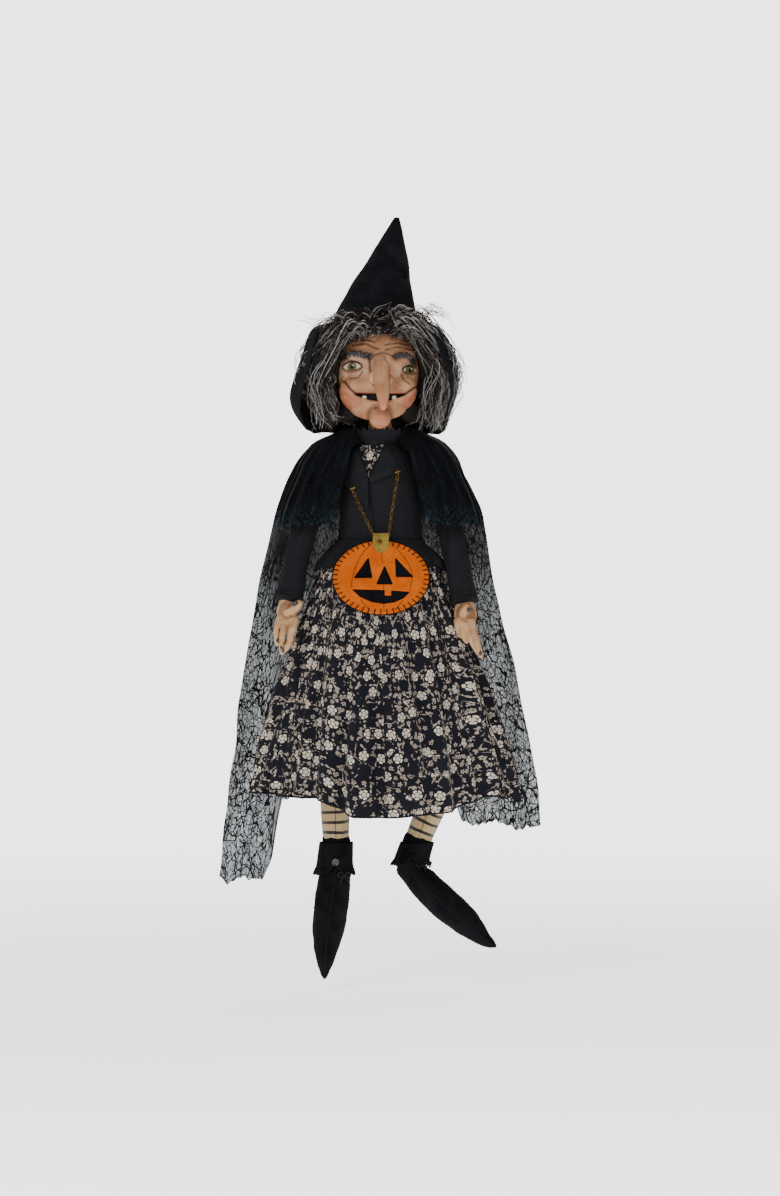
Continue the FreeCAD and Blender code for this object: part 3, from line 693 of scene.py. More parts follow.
def turned(name, slot, body, node, axes, sides, profile):
    """A small turned form at a CAD node's middle: (radius, height) points swept round the third axis."""
    across, along, facing = axes
    rings = [[centre_of(node) + facing * height + (across * math.cos(a) + along * math.sin(a)) * radius
              for a in turns(sides)] for radius, height in profile]
    piece(sheet_mesh(name, rings, MATERIALS[slot], True), body, slot, node)


def noise_over(points, size, seed):
    return np.array([ripple(x / size, y / size, z / size, seed) for x, y, z in points])


def coat(paint, colour, amount):
    paint += (np.array(colour) - paint) * np.clip(amount, 0, 1)[:, None]


def store_paint(obj, paint):
    layer = obj.data.attributes.new("paint", "FLOAT_COLOR", "POINT")
    layer.data.foreach_set("color", np.column_stack([paint, np.ones(len(paint))]).astype(np.float32).ravel())


def store_value(obj, name, values):
    layer = obj.data.attributes.new(name, "FLOAT", "POINT")
    layer.data.foreach_set("value", np.asarray(values, np.float32))


# ---------------------------------------------------------------- head

SKIN = (0.46, 0.215, 0.098)
LINE = (0.035, 0.018, 0.010)
PALE = (0.60, 0.44, 0.32)
ROUGE = (0.48, 0.11, 0.055)
LIP = (0.40, 0.09, 0.055)
MOUTH_HALF = 27
MOUTH_TOP = 38.6
MOUTH_DROP = 7.6
EYES = ((-29.5, 68.0, 9.6, 5.2), (32.0, 64.8, 7.4, 4.4))
BROWS = (((-41, 78), (-30, 82), (-20, 80.5), (-11, 78)), ((17, 78), (25, 80), (32, 77.5), (37, 73)))
WRINKLES = (((-27, 96), (-16, 97), (-5, 94)), ((-29, 91), (-15, 92), (-6, 88), (0, 86)),
            ((6, 91), (18, 93), (31, 92)), ((6, 85), (18, 89), (33, 87)), ((-7, 79), (3, 83), (12, 79)))
CREASES = (((-19, 62), (-23, 56), (-31, 55)), ((23, 60), (25, 54), (32, 49)), ((-40, 58), (-44, 51)))
SMILE = ((-43, 54), (-38, 52.5), (-32, 44.5), (-26, 39), (-14, 37.5), (14, 37.5), (26, 38), (33, 43),
         (38.5, 47))
NOSE_SIDE = ((-11, 79), (-10.5, 66), (-9.5, 56), (-5.5, 48.5))
NOSE = ((0, -79, 75), (1, -91, 66), (2, -100, 52), (3, -107, 38), (3.5, -111.5, 27), (3.5, -113, 22.5))


def head_form():
    blobs = [((-2, -34, 68), (45, 48, 53)), ((-2, -46, 43), (42, 39, 29)), ((-2, -50, 28), (32, 33, 17)),
             ((-25, -67, 47), (15, 13, 13)), ((25, -67, 46), (14, 13, 13)), ((0, -82, 13), (12, 13, 11.6)),
             ((-20, -76, 80), (16, 7, 7)), ((21, -76, 79), (15, 7, 7)), ((-4.5, -93, 55), (8, 7, 8)),
             ((9, -93, 53), (6, 6, 6)), ((0, -30, 2), (13, 13, 26)), ((-2, -64, 34), (27, 18, 12))]
    blobs += chain(NOSE, (6.4, 9.2, 9.0, 7.2, 5.2, 3.5), 26)
    return merged("head_skin", blobs, 0.75, MATERIALS["painted_resin"], 5)


def carve_face(obj):
    points = points_of(obj)
    x, y, z = points.T
    face = np.clip((-y - 48) / 10, 0, 1)
    under_nose = np.clip((y + 93) / 3, 0, 1) * face
    push = np.zeros(len(x))
    for cx, cz, wide, high in EYES:
        push += 3.4 * bell(np.hypot((x - cx) / 1.25, z - cz), 8.5)
        push -= 1.1 * bell(np.hypot((x - cx) / wide, (z - cz) / high) - 1.25, 0.22)
    for line in BROWS:
        push -= 1.6 * bell(line_distance(line, x, z), 4)
    for line in WRINKLES + CREASES:
        push += 0.9 * bell(line_distance(line, x, z), 1.1)
    push += 1.8 * bell(line_distance(SMILE, x, z), 1.5)
    push += 1.0 * bell(line_distance(NOSE_SIDE, x, z), 1.4)
    across = np.clip(np.abs(x) / MOUTH_HALF, 0, 1)
    low = MOUTH_TOP - MOUTH_DROP * (1 - across ** 2)
    inside = np.clip(np.minimum(MOUTH_TOP - z, z - low) / 1.0 + 0.5, 0, 1) * (across < 1)
    push += 5.5 * inside
    push -= 1.4 * bell(z - MOUTH_TOP - 2, 2) * (across < 1) + 1.5 * bell(z - low + 2.6, 2.4) * (across < 1)
    push += 2.2 * bell(np.hypot(x, z - 13) - 13.5, 2.0) * (z > 6)
    points[:, 1] += push * under_nose
    points += normals_of(obj) * (0.35 * noise_over(points, 9, 1))[:, None]
    set_points(obj, points)
    return under_nose, inside * under_nose, across, low


def paint_face(obj, under_nose, inside, across, low):
    points = points_of(obj)
    x, y, z = points.T
    fine = noise_over(points, 2.2, 2)
    broad = noise_over(points, 14, 3)
    paint = np.tile(SKIN, (len(x), 1)).astype(float)
    coat(paint, (0.60, 0.33, 0.175), 0.5 + broad)
    # Painted shade: darker brown towards the back of the head and the sides of the face, where they turn away
    # from the front, with random darker patches where the broad noise is low.
    coat(paint, (0.34, 0.13, 0.06), 0.35 * bell(np.clip(y + 40, -40, 0), 25) + 0.3 * (broad < -0.35))
    for cx in (-36, 34):
        coat(paint, ROUGE, 0.75 * bell(np.hypot(x - cx, (z - 31) / 1.3), 11) * (0.8 + fine))
    coat(paint, ROUGE, 0.5 * bell(np.hypot(x - 3, z - 26), 9) * (y < -98))
    # Painted shade on the nose's flanks and underside: darker brown where its surface turns away from the
    # front.
    sideways = normals_of(obj)[:, 1]
    nose = (y < -91) * (z > 19) * (z < 66)
    coat(paint, (0.16, 0.06, 0.03), 0.9 * np.clip((sideways + 0.5) / 0.45, 0, 1) * nose)
    coat(paint, ROUGE, 0.45 * bell(np.hypot(x, z - 8), 8) * (y < -80))
    for cx, cz, wide, high in EYES:
        ring = np.hypot((x - cx) / wide, (z - cz) / high)
        coat(paint, PALE, 0.85 * bell(ring - 1.7, 0.55) * (0.55 + 1.2 * fine) * under_nose)
        coat(paint, LINE, 0.75 * bell(ring - 1.08, 0.16) * under_nose)
    coat(paint, PALE, 0.5 * bell(np.hypot((x - 4) / 1.6, z - 74), 7) * (0.4 + fine))
    for line in WRINKLES:
        coat(paint, LINE, 0.8 * bell(line_distance(line, x, z), 1.15) * (0.9 + 0.5 * fine) * under_nose)
    for line in CREASES:
        coat(paint, LINE, 0.75 * bell(line_distance(line, x, z), 1.05) * under_nose)
    # Painted shade: a dark line in the groove down the left side of the nose only, where the nose meets the
    # cheek.
    coat(paint, LINE, 0.85 * bell(line_distance(NOSE_SIDE, x, z), 1.5) * under_nose * (y > -96))
    for line in BROWS:
        strokes = 0.9 + 1.0 * noise_over(points * (1.6, 1, 0.6), 1.6, 5)
        coat(paint, (0.022, 0.020, 0.022), 2.1 * bell(line_distance(line, x, z), 3.6) * strokes * under_nose)
    coat(paint, LIP, 0.85 * bell(z - MOUTH_TOP - 1.3, 1.5) * (across < 0.97) * under_nose)
    coat(paint, LINE, 1.1 * bell(line_distance(SMILE, x, z), 1.3) * under_nose)
    coat(paint, (0.006, 0.004, 0.004), inside * 1.6)
    coat(paint, (0.03, 0.02, 0.02), 1.2 * bell(np.hypot(x + 4.6, z - 23.4), 1.5) * (y < -80))
    round_chin = bell(np.hypot(x, z - 13) - 12.8, 1.7) * (z > 3) * (z < 25)
    coat(paint, (0.14, 0.05, 0.025), 0.75 * round_chin * under_nose)
    store_paint(obj, paint)


def eye_lens(name, surface, centre_x, centre_z, wide, high):
    """A domed almond set in the socket, with a painted iris and a painted highlight."""
    rows = []
    for i in range(31):
        v = i / 15 - 1
        row = []
        for j in range(49):
            u = j / 24 - 1
            lid = high * (1 - abs(u) ** 2.3) * (0.95 if v > 0 else 0.72)
            x, z = centre_x + wide * u, centre_z + lid * v
            row.append(Vector((x, face_y(surface, x, z) - 0.5 - 1.7 * (1 - u * u) * (1 - v * v), z)))
        rows.append(row)
    obj = sheet_mesh(name, rows, MATERIALS["painted_resin"])
    points = points_of(obj)
    x, _, z = points.T
    out = np.hypot(x - centre_x, z - centre_z + 0.4)
    turn = np.arctan2(z - centre_z, x - centre_x)
    paint = np.tile((0.56, 0.53, 0.42), (len(x), 1)).astype(float)
    coat(paint, (0.10, 0.10, 0.025), (out < 4.4) * 1.0)
    coat(paint, (0.23, 0.215, 0.06), (out < 3.7) * (0.5 + 0.5 * np.sin(turn * 9)))
    coat(paint, (0.02, 0.02, 0.015), bell(out - 4.3, 0.5))
    coat(paint, (0.004, 0.004, 0.004), (out < 2.1) * 1.0)
    # Painted highlight: a white spot on the iris where a light would be reflected.
    coat(paint, (1, 1, 1), bell(np.hypot(x - centre_x - 1.3, z - centre_z - 1.2), 0.6))
    store_paint(obj, paint)
    return thicken(obj, 0.6)


def face_y(surface, x, z):
    hit = front_of(surface, x, z)
    return hit.y if hit else -70.0


def lids_and_lashes(surface):
    lines = Strands()
    for cx, cz, wide, high in EYES:
        for share, thick in ((0.95, 0.75), (-0.72, 0.45)):
            rim = []
            for j in range(25):
                u = j / 12 - 1
                x, z = cx + wide * u * 1.03, cz + high * share * (1 - abs(u) ** 2.3)
                rim.append(Vector((x, face_y(surface, x, z) - 0.6, z)))
            lines.add(rim, [thick * (0.45 + 0.55 * math.sin(math.pi * j / 24)) for j in range(25)], 0.05, 5)
        for j in range(13):
            u = j / 7 - 0.95
            x, z = cx + wide * u, cz + high * 0.95 * (1 - abs(min(max(u, -1), 1)) ** 2.3)
            root = Vector((x, face_y(surface, x, z) - 0.8, z))
            tip = root + Vector((u * 2.6, -1.4, 3.0 + 0.6 * math.sin(j * 2.1)))
            lines.add([root, (root + tip) / 2 + Vector((0, -0.5, -0.2)), tip], [0.32, 0.24, 0.08], 0.05, 3)
    return lines.make("eye_liner", BLACK_THREAD)


def build_head():
    skin = head_form()
    carved = carve_face(skin)
    paint_face(skin, *carved)
    piece(skin, "head", "painted_resin", "head")
    surface = surface_of(skin)
    for name, eye in zip(("eye_right", "eye_left"), EYES):
        piece(eye_lens(name, surface, *eye), "head", "painted_resin")
    piece(lids_and_lashes(surface), "head", "black_cotton")
    low, high = box("teeth")
    blobs = [((x + dx, centre_of("teeth").y, z), (1.7, 1.8, 2.0))
             for x in (low.x + 2.5, high.x - 2.5) for dx in (-0.9, 0.9) for z in (33.2, 35.2)]
    piece(merged("teeth_carved", blobs, 0.35, MATERIALS["tooth"], 2), "head", "tooth", "teeth")


HAIR_SEED = 11
SIDE_LOCKS = 46
WISPS = 34
BACK_LOCKS = 22
WIG_SIDE = ((39, -57, 102), (50, -50, 84), (55, -40, 56), (55, -36, 28), (50, -34, 12))


def hair_path(rng, side):
    """One clump from the hairline out and down past the cheek."""
    start = rng.random()
    root = Vector((side * (9 + 37 * start), -75 + 34 * start ** 2, 111 - 36 * start ** 2.2))
    out = rng.uniform(56, 82)
    fall = rng.uniform(-10, 34)
    depth = rng.uniform(-62, -34)
    crest = root + Vector((side * rng.uniform(10, 22), rng.uniform(-10, -2), rng.uniform(2, 12)))
    wide = Vector((side * out, depth - 3, rng.uniform(52, 84)))
    low = Vector((side * (out - rng.uniform(0, 12)), depth, (wide.z + fall) / 2 + rng.uniform(-8, 8)))
    tip = Vector((side * (out - rng.uniform(4, 26)), depth - rng.uniform(-4, 8), fall))
    return [root, crest, wide, low, tip]


def wisp_path(rng):
    """A loose lock over the forehead or up over the foot of the hat."""
    root = Vector((rng.uniform(-44, 42), -72, 110))
    if rng.random() < 0.45:
        steps = [(0, 0, 0), (rng.uniform(-6, 6), -8, -4), (rng.uniform(-12, 12), -10, -16)]
    else:
        sweep = rng.choice((-1, 1)) * rng.uniform(14, 34)
        steps = [(0, 0, -6), (sweep * 0.4, -8, rng.uniform(4, 14)), (sweep, -3, rng.uniform(0, 22)),
                 (sweep * 1.7, 2, rng.uniform(-6, 12))]
    return [root + Vector(step) for step in steps]


def clump(strands, rng, path, count, spread, radius, steps=20):
    """A lock of count strands along a path, of one base tone with a few bright ones among them."""
    line = curve_through(path, steps)
    base = rng.choice((rng.uniform(0.0, 0.15), rng.uniform(0.0, 0.3), rng.uniform(0.45, 0.8)))
    for _ in range(count):
        offset = Vector((rng.gauss(0, spread), rng.gauss(0, spread * 0.7), rng.gauss(0, spread)))
        seed = rng.uniform(0, 50)
        points = []
        for k, point in enumerate(line):
            t = k / steps
            wave = Vector((ripple(t * 6, seed, 0), ripple(t * 6, seed, 4), ripple(t * 6, seed, 8)))
            swell = 0.35 + 0.9 * math.sin(math.pi * min(t + 0.12, 1))
            points.append(point + offset * swell + wave * 12 * t)
        tone = rng.uniform(0.82, 1.0) if rng.random() < 0.2 else min(1, max(0, base + rng.gauss(0, 0.14)))
        stop = rng.uniform(0.75, 1.0)
        points = points[:max(4, int(stop * len(points)))]
        radii = [radius * (1 - 0.75 * k / len(points)) for k in range(len(points))]
        strands.add(points, radii, tone, 3)


def build_hair():
    rng = random.Random(HAIR_SEED)
    base = []
    for side in (-1, 1):
        base += chain([(side * x, y, z) for x, y, z in WIG_SIDE], (9, 12, 13, 10, 6), 14)
    base += chain([(-34, -60, 103), (-12, -69, 109), (12, -69, 109), (34, -60, 103)], (8, 7, 7, 8), 10)
    base += [((0, -18, 60), (50, 32, 50)), ((0, -12, 32), (46, 20, 26)), ((-29, -26, 24), (17, 12, 16)),
             ((29, -26, 24), (17, 12, 16)), ((-16, -18, 13), (14, 10, 12)), ((16, -18, 13), (14, 10, 12))]
    cap = merged("wig_base", base, 1.6, MATERIALS["hair"], 3)
    points = points_of(cap)
    points += normals_of(cap) * (1.6 * noise_over(points * (1, 1, 0.35), 3.5, 4))[:, None]
    set_points(cap, points)
    store_value(cap, "tone", 0.06 + 0.12 * noise_over(points * (1, 1, 0.3), 4, 6))
    piece(cap, "head", "hair", "wig")
    strands = Strands()
    for side in (-1, 1):
        for _ in range(SIDE_LOCKS):
            clump(strands, rng, hair_path(rng, side), 12, 4.2, 0.6)
    for _ in range(WISPS):
        clump(strands, rng, wisp_path(rng), 9, 2.4, 0.42, 12)
    for _ in range(BACK_LOCKS):
        angle = rng.uniform(-1.2, 1.2)
        path = [Vector((math.sin(angle) * r, -20 + math.cos(angle) * r * 0.75, z))
                for r, z in ((44, 96), (54, 66), (55, 36), (49, 10))]
        clump(strands, rng, path, 12, 4.2, 0.55)
    piece(strands.make("hair_strands", MATERIALS["hair"]), "head", "hair")


# ---------------------------------------------------------------- hat

CROWN = ((113, -6.5, 45, 48), (125, -5, 41.5, 44), (140, -3, 37, 39), (158, 1.5, 30.5, 32), (175, 6, 24, 25),
         (190, 9.5, 18, 19), (205, 13, 12, 12.5), (220, 16, 5.8, 6), (230, 18, 1.2, 1.2))
HAT_CREASE = ((3, 200), (14, 182), (27, 165))
BRIM_PATH = ((0, 114, 46, -30), (20, 117, 64, -33), (38, 104, 74, -40), (78, 66, 84, -45), (116, 28, 87, -46),
             (150, -5, 70, -46))


def build_crown():
    foot, tip = CROWN[0][0], CROWN[-1][0]
    rows = []
    for t in shares(64):
        z = foot + (tip - foot) * t
        cx, a, b = softly(CROWN, z, 5) if z < tip - 8 else between(CROWN, z)
        row = []
        for turn in turns(96):
            d = Vector((math.cos(turn), math.sin(turn), 0))
            fading = ease(foot, 140, z) * ease(229, 212, z)
            dent = 1.6 * ripple(d.x * 1.3, d.y * 1.3, z / 26, 2) * fading * a / 30
            if d.y < 0:
                away = line_distance(HAT_CREASE, np.array([cx + d.x * a]), np.array([z]))
                dent -= 3.2 * float(bell(away, 4)[0])
            row.append(Vector((cx + d.x * (a + dent), BODY_Y + d.y * (b + dent), z + 0.8 * dent)))
        rows.append(row)
    cloth("hat_crown_felt", rows, "hat_felt", "head", "hat_crown", "stretched", (), True, (300, 120), 1.6, 1)


def build_brim():
    """The brim hangs down at the back and sides; turn 0 is the middle of its back."""
    rows = []
    for t in shares(44):
        row = []
        for share in shares(181):
            turn = math.pi * (2 * share - 1)
            reach = 5 + 141 * (1 - ease(1.65, 2.3, abs(turn))) - 16 * math.exp(-(turn / 0.45) ** 2)
            s = reach * t
            z, radius, cy = softly(BRIM_PATH, s, 16)
            wave = 8.0 * ripple(math.sin(turn) * 2.4, math.cos(turn) * 2.4, s / 52, 9) * ease(20, 70, s)
            up = 3.0 * ripple(math.sin(turn) * 2, math.cos(turn) * 2, 4, 3) * ease(0, 30, s)
            deep = radius * (1.0 if math.cos(turn) < 0 else 0.97)
            x = -4 + math.sin(turn) * (radius + wave)
            row.append(Vector((x, cy + math.cos(turn) * (deep + wave), z + up)))
        rows.append(row)
    cloth("hat_brim_felt", rows, "hat_felt", "head", "hat_brim", "draped", ["wig_base"], False, (520, 130),
          1.8)
    trim("hat_brim_edge", "head", (rows[-1][::2], 1.3, 0.1, 5), slot="hat_felt")


# ---------------------------------------------------------------- body and jacket

TORSO = ((-12, 20, 18), (-22, 32, 23), (-38, 39, 26), (-75, 43, 28), (-110, 45, 28), (-128, 46, 30))
COLLAR_WAVES = 26
SHIRT_TOP = -14
SHIRT_LENGTH = 110
JACKET_TOP = -13
JACKET_LENGTH = 107
V_FOOT = -50
RIGHT_LAPEL = ((-26, -12), (-39, -52), (-11, -85), (-12, -50))
LEFT_LAPEL = ((7, -12), (20, -43), (-10, -54), (-11, -49))


def torso_point(turn, z, out=0.0):
    """turn 0 is the middle of the front and grows towards +X."""
    wide, deep = between(TORSO, z)
    return Vector((math.sin(turn) * (wide + out), BODY_Y - math.cos(turn) * (deep + out), z))


def torso_turn(x, z):
    """The turn at which torso_point has this x."""
    wide = between(TORSO, z)[0]
    return math.asin(min(max(x / wide, -1), 1))


def cloth_noise(points, size, amount, seed):
    """Pushes points about by smooth noise, as worn cloth is."""
    return [p + Vector((ripple(p.x / size, p.y / size, p.z / size, seed),
                        ripple(p.x / size, p.y / size, p.z / size, seed + 3), 0)) * amount for p in points]


def build_shirt_and_form():
    rows = [[torso_point(turn, SHIRT_TOP - SHIRT_LENGTH * t, -3) for turn in turns(120)] for t in shares(41)]
    rows = [cloth_noise(row, 16, 0.5, 1) for row in rows]
    cloth("shirt_cloth", rows, "print_cotton", "torso", "shirt", "stretched", (), True, (270, 110))
    blobs = [((0, BODY_Y, z), (between(TORSO, z)[0] - 5.5, between(TORSO, z)[1] - 5.5, 16))
             for z in range(-30, -125, -10)]
    blobs += [((x, BODY_Y, z), (19, 18, 17)) for x in (-20, 0, 20) for z in (-140, -158)]
    form = merged("stuffed_form", blobs, 2.5, MATERIALS["body_calico"], 6)
    piece(form, "torso", "body_calico", "torso_form")


def build_jacket():
    """One cloth round the body; its two front edges part above the V and overlap below it."""
    rows = []
    for share in shares(56):
        z = JACKET_TOP - JACKET_LENGTH * share
        if z > V_FOOT:
            down = (z + 8) / -42
            start, end = torso_turn(7 - 19 * down, z), torso_turn(-26 + 14 * down, z)
        else:
            edge = -12 + 5 * (z - V_FOOT) / V_FOOT
            start, end = torso_turn(edge - 7, z), torso_turn(edge, z)
        row = []
        for t in shares(141):
            turn = start + (2 * math.pi + end - start) * t
            under = 1.0 * ease(0.06, 0.0, t)
            crumple = 1.0 * ripple(math.sin(turn) * 2.5, math.cos(turn) * 2.5, z / 22, 5)
            crumple += 1.1 * ripple(turn * 4, z / 60, 1, 8) * ease(-70, -110, z)
            row.append(torso_point(turn, z, -1.2 - under + crumple + 0.8 * ease(-104, -118, z)))
        rows.append(row)
    cloth("jacket_cloth", rows, "black_cotton", "torso", "jacket", "stretched", ["shirt_cloth"], False,
          (290, 110), 0.9)
    front_edge = [row[-1] - INWARD * 0.9 for row in rows[20:]]
    darts = [[row[k] - INWARD * 0.6 for row in rows[12:]] for k in (117, 22)]
    trim("jacket_seams", "torso", (front_edge, 0.75, 0.1, 5), *[(dart, 0.55, 0.1, 5) for dart in darts])


def build_lapel(name, corners):
    """A turned-back collar flap between four (x, z) corners: fold line first and last, outer point second."""
    top, point, bottom, inner = corners
    rows = []
    for v in shares(25):
        fold = part_way(top, inner, v)
        outer = part_way(point, bottom, (v - 0.6) / 0.4) if v > 0.6 else part_way(top, point, min(v / 0.6, 1))
        row = []
        for u in shares(17):
            x, z = part_way(fold, outer, u)
            lift = 0.6 + 3.2 * math.sin(math.pi * min(u + 0.1, 1) * 0.75) + 0.5 * ripple(x / 9, z / 9, 2)
            row.append(torso_point(torso_turn(x, min(z, -13)), min(z, -11), lift - 0.4))
        rows.append(row)
    cloth(name, rows, "black_cotton", "torso", "jacket_lapels", "folded", ["jacket_cloth"], False, (30, 60),
          1.0)
    trim(name + "_edge", "torso", ([row[-1] for row in rows], 0.8, 0.1, 5))


def build_ruffle():
    rows = []
    for t in shares(15):
        row = []
        for turn in turns(390):
            wave = math.sin(COLLAR_WAVES * turn + 1.8 * math.sin(3 * turn)) * (0.4 + 1.6 * t)
            radius = 17.4 + 13 * t + wave * 0.8
            tilted = 4 * math.cos(turn) + 13 * ease(0.1, -0.9, math.cos(turn))
            z = -15 + 21 * t - 7 * t * t + 0.9 * wave + tilted * t
            row.append(Vector((math.sin(turn) * radius, BODY_Y - math.cos(turn) * (radius - 1.5), z)))
        rows.append(row)
    cloth("collar_ruffle_net", rows, "black_cotton", "torso", "collar_ruffle", "gathered", ["shirt_cloth"],
          True, (500, 16))
    trim("collar_ruffle_edge", "torso", (rows[-1], 0.45, 0.1, 3, True))


# ---------------------------------------------------------------- skirt

SKIRT = ((-119, 0, 46.5, 31.5), (-137, 1, 62, 38), (-200, 1, 85, 50), (-272, 3, 110, 65), (-345, 5, 129, 80),
         (-395, 7, 138, 92))
HEM = ((-150, -379), (-117, -382), (-65, -392), (-33, -408), (0, -409), (73, -402), (117, -385), (150, -378))
SKIRT_CLOTH = (900, 300)
WAIST = SKIRT[0][0]
# The skirt's folds keep this far from the middle lines of the legs at these limits of their joints.
HIP_SWING = 8
RIGHT_KNEE_BEND = 25
THIGH_ROOM = 20
SHIN_ROOM = 18.5


def skirt_point(turn, z, out=0.0):
    cx, wide, deep = between(SKIRT, z)
    return Vector((cx + math.sin(turn) * (wide + out), BODY_Y - math.cos(turn) * (deep + out), z))


def skirt_fold(turn, z):
    """How far the gathered cloth stands in or out: small gathers at the waist, a few broad folds below."""
    down = ease(WAIST, -330, z)
    gathers = math.sin(58 * turn + 1.6 * math.sin(5 * turn)) * 1.3
    gathers *= ease(WAIST, -126, z) * (1 - ease(WAIST, -220, z))
    ring = Vector((math.sin(turn), math.cos(turn), 0))
    broad = 24 * ripple(ring.x * 3.3, ring.y * 3.3, z / 420, 21)
    broad += 17 * ripple(ring.x * 8, ring.y * 8, z / 340, 23)
    pleats = math.sin(19 * turn + 2.4 * ripple(ring.x * 2, ring.y * 2, z / 260, 14)) * 5.0
    pleats *= ease(-122, -260, z)
    out = gathers + pleats + broad * down - 3.0 * down
    limit = 3 + 9 * down
    return limit * math.tanh(out / limit)


def legs_at_limits():
    """Middle lines of the legs, with the room each needs, at the limits of the hips and of the right knee."""
    lines = []
    for spots in LEG.values():
        hip, knee, ankle = (Vector(spot) for spot in spots)
        for angle in (-HIP_SWING, HIP_SWING):
            swing = Matrix.Rotation(math.radians(angle), 3, "X")
            far_knee, far_ankle = (hip + swing @ (spot - hip) for spot in (knee, ankle))
            lines += [(hip, far_knee, THIGH_ROOM), (far_knee, far_ankle, SHIN_ROOM)]
    knee, ankle = (Vector(spot) for spot in LEG["right"][1:])
    bend = Matrix.Rotation(math.radians(RIGHT_KNEE_BEND), 3, "X")
    lines.append((knee, knee + bend @ (ankle - knee), SHIN_ROOM))
    return lines


def room_lacking(spot, lines):
    """How much closer than it may be a point of the skirt is to the nearest leg."""
    lacking = 0
    for start, end, room in lines:
        along = end - start
        t = min(1, max(0, (spot - start).dot(along) / along.length_squared))
        lacking = max(lacking, room - (spot - start - along * t).length)
    return lacking


def hem_height(turn):
    """The uneven lower edge: the front as in HEM, the back nearly level."""
    if math.cos(turn) > 0:
        return between(HEM, 138 * math.sin(turn))[0]
    return -392 + 5 * math.sin(turn * 3)


def build_skirt():
    rows = []
    legs = legs_at_limits()
    for t in shares(91):
        row = []
        for turn in turns(420):
            z = WAIST + (hem_height(turn) - WAIST) * t
            out = skirt_fold(turn, z) + 2.5 * ripple(turn * 5, t * 7, 1, 5) * t
            for _ in range(2):
                out += room_lacking(skirt_point(turn, z, out), legs)
            row.append(skirt_point(turn, z, out))
        rows.append(row)
    cloth("skirt_cloth", rows, "print_cotton", "torso", "skirt", "gathered", ["jacket_cloth"], True,
          SKIRT_CLOTH)
    trim("skirt_hem", "torso", (rows[-1], 0.9, 0.1, 5, True))


def build_peplum():
    """A flared flap at each side of the jacket, shorter towards its ends."""
    for side, middle in (("right", -math.pi / 2), ("left", math.pi / 2)):
        rows = []
        for t in shares(19):
            row = []
            for j in range(91):
                turn = middle + (j / 90 - 0.5) * 2.6
                z = -116 - (31 + 3 * math.sin(j * 0.4)) * (1 - 0.72 * abs(j / 45 - 1) ** 3) * t
                wave = math.sin((turn - middle) * 15) * 2.2 * t
                base = skirt_point(turn, z) if z < WAIST else torso_point(turn, z, 2.5)
                away = Vector((math.sin(turn), -math.cos(turn), 0))
                row.append(base + away * (wave + 0.4 + 3.6 * ease(0, 0.35, t)))
            rows.append(row)
        cloth("peplum_" + side, rows, "black_cotton", "torso", "jacket_peplum", "gathered", ["skirt_cloth"],
              False, (150, 34), 0.7)


# ---------------------------------------------------------------- cape

# Each station is a height and the (x, y) of the band's two ends and of its middle between them.
CAPE = ((4, (-30, -34), (0, 2), (28, -34)), (-5, (-66, -31), (0, 7), (58, -31)),
        (-28, (-88, -30), (0, 9), (80, -30)), (-53, (-101, -30), (0, 11), (95, -30)),
        (-84, (-112, -30), (0, 14), (110, -30)),
        (-161, (-130, -28), (0, 24), (122, -28)), (-262, (-148, -22), (0, 46), (147, -22)),
        (-367, (-161, -12), (0, 76), (168, -12)), (-487, (-175, 0), (0, 96), (181, 0)))
CAPE_LENGTH = 483
PANEL_LENGTH = 104
CAPE_HEM = ((-180, -472), (-166, -488), (-150, -482), (-128, -486), (-119, -462), (-113, -398), (-60, -396),
            (85, -400), (95, -424), (112, -428), (132, -420), (150, -430), (182, -424))
SHOULDERS = {"right": ((4, (-31, -36), (-27, -42), (-22, -47)), (-5, (-64, -36), (-50, -50), (-29, -54)),
                       (-26, (-84, -37), (-64, -56), (-32, -60)),
                       (-45, (-90, -38), (-74, -58), (-36, -64)), (-75, (-103, -39), (-84, -62), (-45, -65)),
                       (-112, (-113, -42), (-94, -67), (-56, -63)))}
SHOULDERS["left"] = tuple((z, *[(-x, y) for x, y in spots]) for z, *spots in SHOULDERS["right"])


def band(stations, z):
    """The left, middle and right points of a curved band at height z."""
    flat = [(s[0], *s[1], *s[2], *s[3]) for s in stations]
    values = softly(flat, z, 7)
    return [Vector((values[k], values[k + 1], z)) for k in (0, 2, 4)]


def bow(left, middle, right, t):
    """A smooth arch from left to right whose crown passes through middle."""
    crown = middle * 2 - (left + right) / 2
    return left * (1 - t) ** 2 + crown * 2 * t * (1 - t) + right * t * t


def net_sheet(name, rows, opacity, size):
    obj = sheet_mesh(name, rows, MATERIALS["web_net"], size=size)
    store_value(obj, "gather", [value for row in opacity for value in row])
    return obj


def build_cape_back():
    top = CAPE[0][0]
    rows, opacity = [], []
    for t in shares(121):
        row, shade = [], []
        for u in shares(281):
            x = bow(*band(CAPE, top - CAPE_LENGTH * t), u).x
            bottom = between(CAPE_HEM, x)[0] + 5 * ripple(u * 60, 3, 0)
            z = top + (bottom - top) * t
            down = ease(-30, -300, z)
            phase = u * 42 + 5 * ripple(u * 4, z / 300, 2)
            fold = math.sin(phase) + 0.6 * math.sin(phase * 2.3 + z / 60)
            point = bow(*band(CAPE, z), u) + INWARD * fold * (1.0 + 4.2 * down)
            point += Vector((1, 0, 0)) * 2.5 * ripple(z / 45, u * 9, 5) * down * ease(0, 60, z + 489)
            row.append(point)
            thick = 0.05 + 0.35 * ease(-430, -190, z) + 0.45 * ease(-230, -110, z) + 0.2 * ease(-110, -60, z)
            thick += 0.3 * abs(math.cos(phase)) ** 3 * down + 0.1 * ripple(u * 9, z / 60, 7)
            shade.append(min(1, max(0, thick)))
        rows.append(row)
        opacity.append(shade)
    cape = net_sheet("cape_net", rows, opacity, (620, 480))
    piece(cape, "torso", "web_net", "cape_back")


